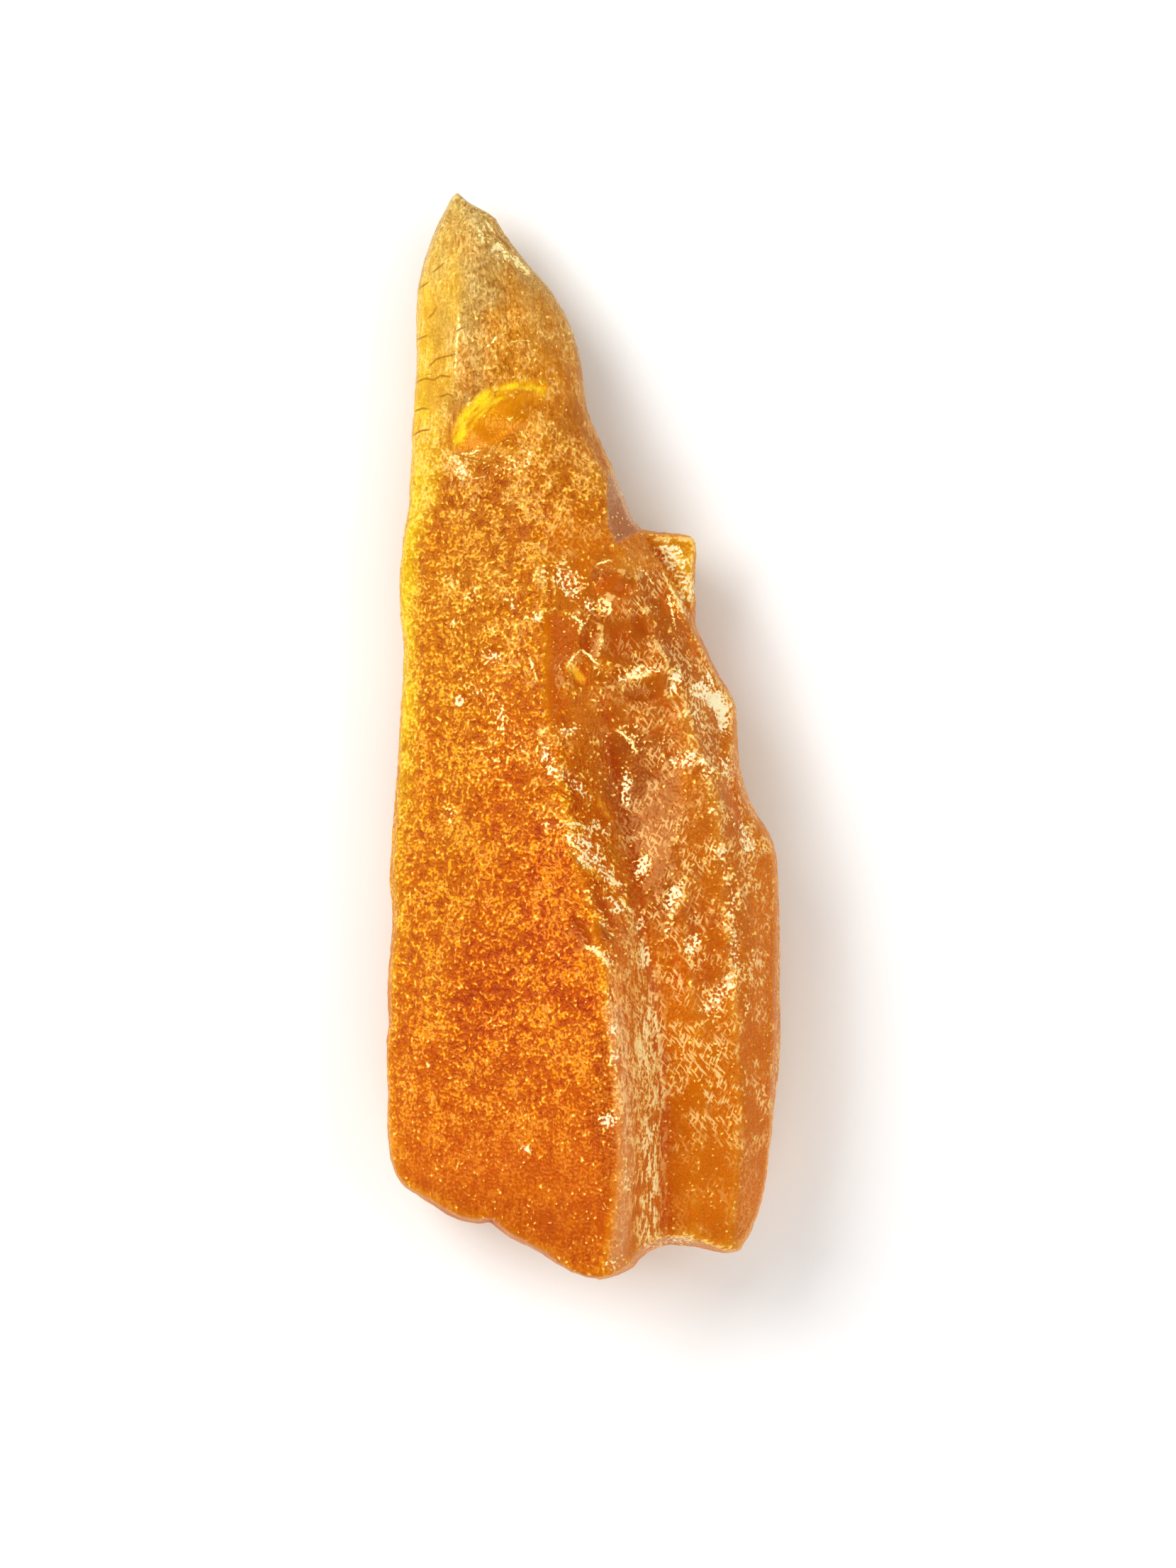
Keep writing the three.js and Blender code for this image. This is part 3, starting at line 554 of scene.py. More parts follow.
def point_normals(points, quads):
    p = points[quads]
    face = np.cross(p[:, 2] - p[:, 0], p[:, 3] - p[:, 1])
    out = np.zeros_like(points)
    for c in range(4):
        np.add.at(out, quads[:, c], face)
    return out / np.maximum(np.linalg.norm(out, axis=1, keepdims=True), 1e-12)


normals = point_normals(points, quads)
px, py, pz = points.T
tx, ty = TX(px), TY(py)
up = step(-0.05, 0.3, normals[:, 2])
beside = 1 - up
resting = pz < 0.02


def evened(values, passes):
    """Values averaged over the neighbouring points."""
    a, b = quads.ravel(), np.roll(quads, -1, 1).ravel()
    count = np.bincount(a, minlength=len(points))
    for _ in range(passes):
        values = np.stack([np.bincount(a, v[b], len(points)) / count for v in values.T], 1)
    return values


# how far each point stands out over what is next to it, over half a millimetre and over a millimetre and a half
stands = ((points - evened(points, 1)) * normals).sum(1) / CELL
stands_wide = ((points - evened(points, 12)) * normals).sum(1) / CELL
stands_far = ((points - evened(points, 70)) * normals).sum(1) / CELL
ridge = step(0.035, 0.13, stands)
# masks for painted shade in sunken places and hollows, and painted light on rises
sunk_shade = step(0.4, 2.6, -stands_far)
hollow_shade = step(0.06, 0.55, -stands_wide)
rise = step(0.06, 0.55, stands_wide)
CREST = [[600, 720], [680, 735], [760, 750], [820, 760], [900, 772], [1000, 774], [1100, 792], [1200, 814], [1300, 842], [1400, 855], [1500, 869], [1600, 874], [1700, 868], [1790, 850]]
from_crest = tx - np.interp(ty, [p[0] for p in CREST], [p[1] for p in CREST])
glassy = step(6, 50, from_crest + 9 * noise(tx / 16, ty / 16, 7.7)) * step(700, 790, ty)

# ==== what each place of the surface is like ===============================================================
# Each mask says how much of something there is. The material breaks the masks up into fine marks.
soft = fbm(px / 1.1, py / 1.1, pz / 1.1, 3)
# bruised places, with the share of pale crumb cells in them; the ridges of the glassy side get a share too, as painted
# highlight
CRUMBS = [  # [x, y, half width, half height, turn, how much]
    [684, 322, 12, 22, -20, 0.60], [700, 352, 16, 15, 30, 0.65], [738, 376, 9, 20, -48, 0.60], [716, 340, 10, 18, -40, 0.4],
    [803, 824, 26, 34, -38, 1.0], [778, 806, 30, 12, 0, 0.7], [764, 816, 22, 14, 0, 0.6], [724, 856, 14, 18, 0, 0.9],
    [756, 872, 18, 12, 20, 0.85], [692, 924, 17, 16, 20, 0.9], [674, 975, 12, 22, -50, 0.75], [648, 988, 9, 9, 0, 1.3],
    [706, 1010, 12, 34, -10, 0.75], [820, 878, 12, 9, 0, 0.7], [808, 888, 13, 11, 0, 1.0], [832, 852, 9, 10, 0, 0.9],
    [732, 1054, 20, 12, 0, 0.6], [776, 1076, 13, 34, -12, 0.95], [800, 1028, 28, 12, -8, 0.9], [812, 1108, 13, 34, -38, 0.95],
    [826, 1090, 16, 14, 0, 0.6], [884, 1106, 9, 30, 0, 0.95], [786, 1166, 46, 9, 10, 0.6], [704, 1070, 26, 12, 10, 0.45],
    [640, 876, 13, 13, 0, 0.6], [668, 840, 16, 13, 0, 0.5], [640, 816, 14, 14, 0, 0.6], [636, 1148, 9, 18, -10, 0.7],
    [905, 948, 36, 7, -8, 0.9], [952, 963, 9, 20, 12, 1.2], [880, 956, 16, 8, 10, 0.8], [962, 885, 7, 16, -10, 0.7],
    [892, 1043, 12, 28, -38, 0.85], [882, 1036, 26, 8, 8, 0.75], [893, 1030, 7, 18, 8, 0.8], [846, 1160, 12, 22, -40, 0.9],
    [826, 1208, 20, 20, 0, 1.2], [820, 1188, 28, 10, 25, 0.9], [862, 1238, 10, 36, -44, 1.1], [856, 1276, 28, 14, 14, 1.1],
    [836, 1258, 18, 12, 20, 0.8], [905, 1225, 12, 22, 12, 1.25], [950, 1262, 11, 26, 22, 1.15], [976, 1327, 12, 22, 22, 1.1],
    [942, 1300, 7, 26, 12, 0.7], [862, 1306, 24, 9, 34, 0.8], [842, 1338, 32, 9, 32, 0.9], [905, 1300, 12, 24, 20, 0.7],
    [908, 1345, 9, 34, 0, 0.9], [860, 1400, 7, 12, 0, 0.7], [862, 1447, 9, 13, 0, 1.0], [867, 1488, 8, 18, 0, 1.0],
    [857, 1572, 16, 12, -12, 1.2], [884, 1648, 8, 26, 0, 0.7], [743, 1617, 9, 5, 22, 1.4], [604, 1474, 6, 9, 0, 0.5],
    [606, 1501, 7, 7, 0, 0.85], [700, 1440, 18, 12, 0, 0.35], [868, 1772, 18, 10, -18, 0.6], [1040, 1160, 9, 20, -26, 1.0],
    [1054, 1187, 12, 18, -20, 1.1], [1005, 1143, 14, 12, 0, 0.8], [1024, 1078, 14, 16, 10, 1.0], [959, 1072, 26, 12, 0, 1.05],
    [996, 1080, 14, 18, 0, 0.8], [978, 1012, 20, 28, 20, 0.5], [940, 1045, 24, 12, 0, 0.5], [955, 795, 16, 34, -38, 1.2],
    [976, 826, 8, 26, 0, 0.9], [936, 775, 16, 14, 0, 0.9], [963, 853, 8, 26, -12, 0.9], [1001, 958, 6, 14, -30, 1.4],
    [1004, 1420, 16, 18, 0, 0.8], [1054, 1414, 7, 20, 0, 0.9], [956, 1743, 24, 10, 10, 0.8], [920, 1752, 18, 8, 0, 0.8],
    [910, 1500, 14, 60, 0, 0.35], [1045, 1290, 12, 30, 0, 0.4], [1012, 1480, 12, 26, 10, 0.35], [1060, 1350, 10, 20, 0, 0.4],
]
crumbs_and_glints = np.zeros(len(points))
for cx, cy, rx, ry, turn, much in CRUMBS:
    crumbs_and_glints = np.maximum(crumbs_and_glints, 0.90 * much * spot(tx, ty, cx, cy, rx * 1.35, ry * 1.35, turn) ** 1.15)
crumbs_and_glints = np.maximum(crumbs_and_glints, 1.45 * (1 - step(-12, 6, signed(tx, ty, BIG_CHIP) + 6 * noise(tx / 7, ty / 7, 6.6))))
crumbs_and_glints = np.maximum(crumbs_and_glints, 0.8 * along(tx, ty, CRUMBLE, 18))
crumbs_and_glints = np.maximum(crumbs_and_glints, 0.50 * along(tx, ty, HACKLES, 34))
crumbs_and_glints = np.maximum(crumbs_and_glints, 0.42 * along(tx, ty, RIGHT_RIM, 9))
# scattered bruising in drifts
for much, much_soft, outline in [
    (0.20, 90, [[660, 790], [860, 780], [905, 1080], [850, 1280], [760, 1180], [650, 1080], [630, 940]]),
    (0.16, 60, [[950, 1040], [1045, 1040], [1098, 1200], [1090, 1430], [980, 1500], [940, 1250]]),
    (0.10, 90, [[590, 1180], [780, 1200], [850, 1400], [720, 1500], [590, 1480]]),
    (0.06, 60, [[610, 640], [790, 650], [860, 780], [650, 780], [600, 740]]),
]:
    crumbs_and_glints = np.maximum(crumbs_and_glints, much * patch(tx, ty, outline, much_soft))
crumbs_and_glints = np.maximum(crumbs_and_glints, 1.0 * patch(tx, ty, [[944, 770], [958, 766], [962, 790], [974, 812], [978, 840], [968, 836], [956, 812], [946, 792]], 7))
crumbs_and_glints = np.maximum(crumbs_and_glints, 0.45 * patch(tx, ty, [[632, 634], [700, 640], [748, 632], [752, 662], [700, 684], [640, 680]], 16))
# painted highlight: pale rims along the ridges of the glassy side
crumbs_and_glints = np.maximum(crumbs_and_glints, (0.30 + 0.25 * soft) * ridge * glassy)

window = np.zeros(len(points))
for pts in WINDOWS:
    window = np.maximum(window, 1 - step(-7, 8, signed(tx, ty, pts) + 7.0 * noise(tx / 11, ty / 14, 8.8)))
window = window * step(-7, 3, from_crest)
crumbs_and_glints = crumbs_and_glints * (1 - window)
# clear glassy facets painted dark as painted shade: beside the spur, and small cavities under the torn ridges
PANES = [
    [[918, 792], [934, 812], [950, 850], [966, 880], [990, 928], [1002, 948], [988, 944], [966, 905], [944, 868], [926, 832]],
    [[836, 1258], [858, 1274], [884, 1300], [892, 1320], [872, 1318], [852, 1300]],
    [[806, 1290], [818, 1294], [830, 1310], [832, 1330], [820, 1336], [808, 1322]],
    [[838, 1296], [852, 1304], [870, 1322], [872, 1332], [856, 1326], [842, 1314]],
    [[838, 820], [868, 812], [892, 836], [880, 868], [846, 862]],
    [[838, 1108], [850, 1126], [862, 1160], [852, 1166], [838, 1140]], [[1026, 1094], [1038, 1104], [1048, 1140], [1040, 1156], [1028, 1124]],
]
shaded_panes = np.zeros(len(points))
for pts in PANES:
    shaded_panes = np.maximum(shaded_panes, 1 - step(-7, 7, signed(tx, ty, pts) + 7.0 * noise(tx / 10, ty / 12, 2.8)))
clear = np.maximum(0.75 * window, 0.9 * shaded_panes)
crumbs_and_glints = crumbs_and_glints * (1 - 0.9 * shaded_panes)
clear = np.maximum(clear, patch(tx, ty, BEVEL_FACE, 5))
clear = np.maximum(clear, 0.7 * patch(tx, ty, LENS, 10))
clear = np.maximum(clear, 0.85 * patch(tx, ty, SCALLOPS, 24) * step(-0.9, -0.1, soft))
clear = np.maximum(clear, 0.5 * glassy)
clear = np.maximum(clear, 0.75 * patch(tx, ty, MAUVE, 30))
clear = np.maximum(clear, 0.70 * step(520, 320, ty))
clear = np.maximum(clear, 0.5 * step(640, 520, ty))
clear = np.maximum(clear, 0.2 * step(1560, 1740, ty) * step(870, 820, tx))
clear = np.maximum(clear, 0.4 * patch(tx, ty, [[842, 1440], [862, 1470], [872, 1620], [868, 1700], [846, 1700], [838, 1560]], 16))

# painted glow: yellow painted along the thin left rim where light shines through it, widest near the point and fading
# away from the rim; a gold strip near the point and a patch on the spur get the same yellow
left = np.array([p for p in OUTLINE if p[0] < 660 and p[1] < 1690], float)
left = left[np.argsort(left[:, 1])]
from_left = tx - np.interp(ty, left[:, 1], left[:, 0])
wide = 34 + 30 * step(360, 440, ty) * (1 - step(620, 800, ty))
painted_glow = np.clip(1 - (from_left + 9 * soft) / wide, 0, 1) * (0.40 + 0.85 * step(360, 430, ty) * (1 - step(900, 1200, ty))) * (1 - 0.6 * step(1200, 1500, ty))
# the crescent: the upper wall of the lens-shaped scar, painted bright yellow as painted light where the wall catches
# the lamps, in strokes along the arc
CRESCENT = [
    [636, 622], [640, 602], [650, 580], [668, 562], [692, 547], [716, 539], [744, 535], [770, 539], [777, 551],
    [766, 562], [752, 553], [726, 557], [704, 572], [684, 590], [668, 606], [656, 622], [642, 634],
]
arc_r, arc_a = np.hypot(tx - 735, ty - 640), np.arctan2(ty - 640, tx - 735)
strokes = noise(arc_r / 3.4, arc_a * 4.6, 3.3)
arc = 1 - step(-6, 4, signed(tx, ty, CRESCENT) + 4 * noise(arc_a * 9, arc_r / 9, 5.5))
lit_wall = arc * np.clip(0.56 + 1.5 * strokes + 0.3 * noise(tx / 9, ty / 9, 1.3), 0, 1)
golden_glow = patch(tx, ty, [[606, 352], [628, 318], [646, 330], [652, 400], [650, 450], [646, 520], [636, 556], [612, 590], [592, 660], [566, 700], [566, 480], [584, 400]], 16)
golden_glow = golden_glow * np.clip(0.80 + 0.55 * fbm(tx / 30, ty / 34, 4.4, 3), 0.25, 1)
painted_glow = np.maximum(painted_glow, 0.78 * golden_glow)
painted_glow = painted_glow * (1 - patch(tx, ty, LENS, 8))
painted_glow = np.maximum(painted_glow, 0.45 * step(560, 400, ty) * step(690, 600, tx))
painted_glow = painted_glow * (1 - 0.35 * step(400, 300, ty))
painted_glow = np.maximum(painted_glow, 0.35 * patch(tx, ty, [[936, 762], [976, 762], [984, 842], [962, 852], [940, 806]], 14))
painted_glow = np.clip(painted_glow, 0, 1) * (up + 0.22 * beside)
shard = patch(tx, ty, [[801, 934], [810, 938], [827, 958], [824, 968], [812, 958], [803, 946]], 5)
for pts in (
    [[856, 1236], [868, 1240], [880, 1258], [886, 1276], [874, 1270], [862, 1254]],
    [[824, 1330], [842, 1332], [857, 1350], [861, 1366], [848, 1356], [834, 1342]],
    [[832, 1116], [846, 1125], [858, 1144], [864, 1158], [850, 1148], [838, 1131]],
    [[812, 1196], [828, 1206], [842, 1226], [848, 1242], [832, 1232], [818, 1212]],
):
    shard = np.maximum(shard, 0.72 * patch(tx, ty, pts, 7) * step(-0.5, 0.3, noise(tx / 7, ty / 9, 6.1)))
shard = shard * up

streak = patch(tx, ty, BAND, 16)
streak = np.maximum(streak, 0.6 * step(1420, 1640, ty) * (1 - step(860, 880, tx)))
streak = np.maximum(streak, 1.0 * step(700, 560, ty))
streak = np.maximum(streak, 0.5 * step(940, 980, tx) * step(1500, 1600, ty))
band = patch(tx, ty, [[894, 1300], [926, 1340], [934, 1460], [934, 1600], [928, 1745], [896, 1745], [896, 1600], [892, 1420]], 30) * np.clip(0.85 + 0.35 * step(1540, 1610, ty) + 0.5 * noise(tx / 12, ty / 60, 6.6) + 0.35 * soft, 0, 1.2)

# painted sheen: a dull pink-grey painted reflection, darker than the body, on the concave face, the faces right of the
# crest, the steep face above the spur and the upper right near the point
painted_sheen = 1.0 * patch(tx, ty, MAUVE, 60) * (0.75 + 0.35 * fbm(tx / 26, ty / 40, 8.8, 2))
# painted reflection: pale pink on the strip along the lip of the big face, and a little over the streaked band
strip_sheen = 0.9 * np.clip(1 - to_line(tx, ty, [[868, 1420], [877, 1480], [882, 1560], [885, 1640], [880, 1700], [872, 1770]]) / 17, 0, 1) ** 0.5 * up
strip_sheen = np.maximum(strip_sheen, 0.25 * patch(tx, ty, BAND, 20) * up)
painted_sheen = np.maximum(painted_sheen, 0.5 * patch(tx, ty, [[850, 960], [1000, 940], [1030, 1060], [990, 1320], [900, 1330], [850, 1140]], 60) * (0.8 + 0.4 * soft))
# painted reflection: the steep face above the spur painted grey-pink
reflecting_facet = patch(tx, ty, BEVEL_FACE, 6) * step(-0.05, 0.08, normals[:, 2])
painted_sheen = np.maximum(painted_sheen, 1.3 * reflecting_facet)
painted_sheen = np.maximum(painted_sheen, 0.40 * patch(tx, ty, [[800, 790], [930, 760], [1000, 930], [1040, 1060], [960, 1080], [850, 1040]], 50) * step(-0.8, 0.4, soft))
painted_sheen = np.maximum(painted_sheen, 0.28 * step(950, 985, tx) * step(1080, 1160, ty) * (1 - step(1330, 1480, ty)) * (1 - step(1040, 1070, tx)))
painted_sheen = np.maximum(painted_sheen, 0.22 * step(740, 830, tx) * (1 - step(640, 760, ty)))

# where short painted glints go: right of the crest down the band, near the point, over the middle, and on the sides
glint_strokes = 1.0 * step(850, 900, tx) * step(760, 830, ty) * (1 - 0.7 * step(1540, 1700, ty))
glint_strokes = np.maximum(glint_strokes, 0.6 * step(400, 470, ty) * (1 - step(680, 760, ty)))
glint_strokes = np.maximum(glint_strokes, 0.5 * patch(tx, ty, [[700, 680], [860, 700], [880, 1000], [760, 1150], [700, 900]], 60))

# slow unevenness, and a slow bend that keeps the fine patterns from looking regular
patchy = 0.30 * fbm(px * 1.1, py * 1.1, pz * 1.1 + 3.3, 3, 0.55)
uneven = 0.30 * fbm(px * 0.5, py * 0.4, pz * 0.5 + 8.1, 3, 0.55)
bend = np.stack([fbm(px * 1.5, py * 1.5, pz * 1.5 + a, 2) for a in (11.0, 23.0, 37.0)], 1) * 0.20

deep = step(330, 1000, ty) * 0.58 + 0.42 * step(900, 1600, ty)
deep = deep + 0.22 * step(60, 150, from_left) * (tx < 960) * step(850, 1000, ty) + 0.35 * uneven
deep = deep + 0.14 * step(70, 140, from_left) * step(300, 420, ty) * (1 - step(640, 760, ty))
frost = (0.75 + 0.25 * step(600, 720, ty)) * (1 - 0.25 * step(930, 1000, tx)) * (1 - 0.5 * step(1520, 1680, ty))
frost = frost * (1 - 0.7 * np.maximum(patch(tx, ty, LENS, 12), patch(tx, ty, CRESCENT, 12))) * (1 - window)
frost = frost * (1 - shaded_panes)
frost = frost * (1 - 0.6 * glassy) * (1 - 0.8 * patch(tx, ty, BEVEL_FACE, 6))

# the sides and the underside: paler and rougher at the edges of the scars, smoother inside some of them
curve = np.zeros(len(points))
spread = 1 - np.linalg.norm(normals[quads].mean(1), axis=1)
np.add.at(curve, quads.ravel(), np.repeat(spread, 4))
curve = np.clip(curve * 14, 0, 1)
shell = step(-0.12, 0.30, fbm(px / 3.4, py / 3.4, pz / 3.4 + 40, 2))
crumbs_and_glints = crumbs_and_glints * up + beside * (0.05 + 0.62 * curve + 0.24 * step(0.1, 0.8, soft) * (1 - shell))
clear = clear * up + beside * shell * 0.24
frost = frost * up + beside * (0.85 - 0.45 * shell)
streak, painted_sheen, band, window = streak * up, painted_sheen * up, band * up, window * up
glint_strokes = glint_strokes * up + beside * 0.45
crumbs_and_glints = np.where(resting, 0.05, crumbs_and_glints)


def blend(share, a, b):
    return a + (b - a) * np.clip(share, 0, 1)[:, None]


BODY_COLOURS = [  # from the point to the broken end
    (0.0, (0.80, 0.57, 0.20)), (0.22, (0.95, 0.43, 0.034)), (0.5, (0.97, 0.375, 0.007)), (0.8, (0.98, 0.315, 0.0022)), (1.0, (0.98, 0.265, 0.0010)),
]
# pale pink of the painted reflection on the strip along the lip
STRIP_SHEEN_COLOUR = np.array((1.0, 0.55, 0.24))
# yellow of the painted glow, and its gold near the point
GLOW_COLOUR = np.array((1.0, 0.74, 0.022))
GOLDEN_GLOW_COLOUR = np.array((1.0, 0.60, 0.040))
# yellow of the painted light on the scar's upper wall
LIT_WALL_COLOUR = np.array((1.0, 0.78, 0.035))
# pink-grey of the painted reflection
SHEEN_COLOUR = np.array((0.72, 0.335, 0.105))
GLASSY_COLOUR = np.array((1.0, 0.375, 0.010))
# dark orange of the painted shade in the glassy facets and cavities
PANE_SHADE_COLOUR = np.array((0.97, 0.28, 0.002))
WINDOW_COLOUR = np.array((1.0, 0.275, 0.0007))
LENS_COLOUR, LENS_DEEP = np.array((0.98, 0.43, 0.005)), np.array((0.95, 0.37, 0.005))
# the second colour is the grey-pink of the painted reflection on the steep face above the spur
SHARD_COLOUR, FACET_REFLECTION_COLOUR = np.array((1.0, 0.53, 0.03)), np.array((0.97, 0.62, 0.37))
SIDE_DARK, SIDE_LIGHT = (1.0, 0.38, 0.006), (1.0, 0.52, 0.024)
at = [b[0] for b in BODY_COLOURS]
tint = np.stack([np.interp(deep, at, [b[1][c] for b in BODY_COLOURS]) for c in range(3)], 1)
tint = blend(glassy * 0.8, tint, GLASSY_COLOUR)
tint = blend(window * 0.9, tint, WINDOW_COLOUR)
lens = (1 - step(-5, 4, signed(tx, ty, LENS) + 3.0 * noise(tx / 13, ty / 13, 2.2))) * up
lens = np.maximum(lens, arc * up)
under = step(30, 3, to_line(tx, ty, [[764, 566], [759, 582], [738, 606], [708, 627], [672, 639], [648, 641]]) + 16 * noise(arc_r / 4.5, arc_a * 5, 4.1))
lens_colour = blend(under, np.tile(LENS_COLOUR, (len(points), 1)), LENS_DEEP)
combed = noise((tx * 0.823 - ty * 0.568) / 46, (tx * 0.568 + ty * 0.823) / 3.6, 9.1)
lens_colour = lens_colour * (1 - 0.16 * np.clip(combed, -1, 1) - 0.34 * step(706, 752, tx) * step(552, 590, ty))[:, None]
lens_colour = np.clip(lens_colour, 0, 1)
crumbs_and_glints = crumbs_and_glints * (1 - 0.8 * lens)
# painted shade in the glassy facets and the cavities
tint = blend(shaded_panes * up * 0.85, tint, PANE_SHADE_COLOUR)
# painted reflection on the faces right of the crest
tint = blend(painted_sheen * 0.6, tint, SHEEN_COLOUR)
deeper = 0.75 * patch(tx, ty, [[748, 1150], [800, 1176], [818, 1250], [812, 1390], [850, 1400], [836, 1424], [770, 1420], [738, 1290]], 24)
deeper = np.maximum(deeper, 0.6 * patch(tx, ty, [[948, 1280], [992, 1262], [1012, 1330], [1000, 1400], [950, 1404], [936, 1340]], 24))
deeper = np.maximum(deeper, 0.5 * patch(tx, ty, [[640, 1330], [720, 1320], [760, 1380], [740, 1480], [650, 1500]], 40))
deeper = np.maximum(deeper, 0.5 * patch(tx, ty, [[610, 656], [780, 650], [846, 760], [660, 790], [616, 760]], 40))
deeper = deeper * np.clip(0.8 + 0.6 * soft, 0, 1) * up
tint = tint ** (1 + 0.28 * deeper)[:, None]
# painted shade in hollows and sunken places, painted light on what stands out
tint = tint ** (1 + 0.22 * hollow_shade - 0.22 * rise + 0.30 * sunk_shade)[:, None]
tint = blend(lens * 0.95, tint, lens_colour)
# painted reflection on the strip along the lip
tint = blend(strip_sheen * 0.9, tint, STRIP_SHEEN_COLOUR)
painted_glow_colour = blend(golden_glow * (0.85 - 0.3 * soft), np.tile(GLOW_COLOUR, (len(points), 1)), GOLDEN_GLOW_COLOUR)
# painted glow along the thin left rim
tint = blend(painted_glow * 0.85, tint, painted_glow_colour)
# painted light on the scar's upper wall
tint = blend(lit_wall * up, tint, LIT_WALL_COLOUR)
tint = blend(shard, tint, SHARD_COLOUR)
side = blend(step(-0.5, 0.5, 1.2 * uneven + 0.8 * soft), np.tile(SIDE_DARK, (len(points), 1)), np.tile(SIDE_LIGHT, (len(points), 1)))
tint = blend(beside * (0.42 + 0.28 * step(900, 400, ty)), tint, side)
# painted reflection on the steep face above the spur
tint = blend(reflecting_facet * 0.8, tint, FACET_REFLECTION_COLOUR)
# painted highlight: pale glints along the sharp ridges, most on the glassy side of the crest and near the point, some
# on the sides
edge = np.clip(ridge * up * (0.35 + 0.65 * glassy + 0.4 * step(640, 500, ty)) + ridge * beside * 0.6, 0, 1)
# an orange wedge between the scratches near the point
wedge = patch(tx, ty, [[650, 478], [664, 500], [670, 548], [650, 560], [644, 520]], 12) * up
tint = blend(wedge * 0.55, tint, np.array((0.95, 0.36, 0.012)))
# the see-through share before the fine marks are laid over it
through = 0.60 + (0.95 - 0.60) * clear
through = through - 0.17 * glassy * (1 - window) - 0.20 * window - 0.16 * shaded_panes * up + 0.06 * hollow_shade - 0.10 * rise + 0.06 * sunk_shade + 0.08 * deeper - 0.13 * beside
through = through + (0.56 - through) * step(640, 540, ty) * up
through = through + (0.42 - through) * lens
through = through + (0.18 - through) * reflecting_facet
through = through + (0.15 - through) * shard
through = through + (0.34 - through) * np.clip(painted_glow * 0.9, 0, 1)
through = through + (0.22 - through) * np.clip(lit_wall, 0, 1)
through = through + (0.80 - through) * np.clip(painted_sheen * 0.8, 0, 1)
through = through + (0.40 - through) * np.clip(strip_sheen * 0.8, 0, 1)
dull = 0.40 + (0.14 - 0.40) * clear
dull = dull + (0.34 - dull) * np.clip(painted_sheen * 0.6, 0, 1)


def marks(lines, width=1.0):
    """Signed distance in mm to the nearest of some thin lines on the top, and 1 near them, 0 away from them.
    A line may start with its own width."""
    best, sign, near = np.full(len(points), 1e9), np.ones(len(points)), np.zeros(len(points))
    for line in lines:
        thick, line = (line[0], line[1:]) if isinstance(line[0], (int, float)) else (width, line)
        for (ax, ay), (bx, by) in zip(line[:-1], line[1:]):
            dx, dy = bx - ax, by - ay
            size = math.hypot(dx, dy)
            t = ((tx - ax) * dx + (ty - ay) * dy) / size
            c = np.clip(t, 0, size)
            d = np.hypot(tx - ax - c * dx / size, ty - ay - c * dy / size) / thick
            side = np.sign((tx - ax) * dy - (ty - ay) * dx)
            closer = d < best
            best, sign = np.where(closer, d, best), np.where(closer, side, sign)
        off = to_line(tx, ty, line)
        (ax, ay), (bx, by) = line[0], line[-1]
        fade = 1.0
        for (qx, qy), (rx, ry) in ((line[0], line[1]), (line[-1], line[-2])):
            size = math.hypot(rx - qx, ry - qy)
            past = ((tx - qx) * (rx - qx) + (ty - qy) * (ry - qy)) / size
            fade = fade * step(-3, 4, past)
        near = np.maximum(near, (1 - step(10, 16, off)) * fade)
    return best * U * sign, near * up


crack, crack_near = marks([
    [[586, 478], [594, 475], [603, 472]], [[588, 405], [596, 401], [605, 396]], [[603, 449], [611, 441], [617, 430]],
    [[609, 383], [618, 377], [627, 369]], [[585, 538], [600, 533], [612, 536], [622, 530], [637, 532]],
    [[604, 517], [616, 506], [630, 503], [645, 500]], [[584, 579], [596, 575], [605, 577]], [[643, 469], [650, 464], [659, 462]],
    [[619, 561], [632, 556], [641, 560]], [[581, 613], [594, 607], [607, 606]], [[640, 640], [655, 645], [672, 650], [690, 652]],
    [1.8, [700, 330], [712, 340], [720, 352]], [1.5, [686, 322], [692, 330]], [1.4, [716, 370], [724, 378]],
    [1.3, [800, 1198], [812, 1210], [823, 1223]], [1.5, [858, 1192], [867, 1204], [877, 1217]], [1.2, [846, 1300], [856, 1311], [868, 1326]],
])
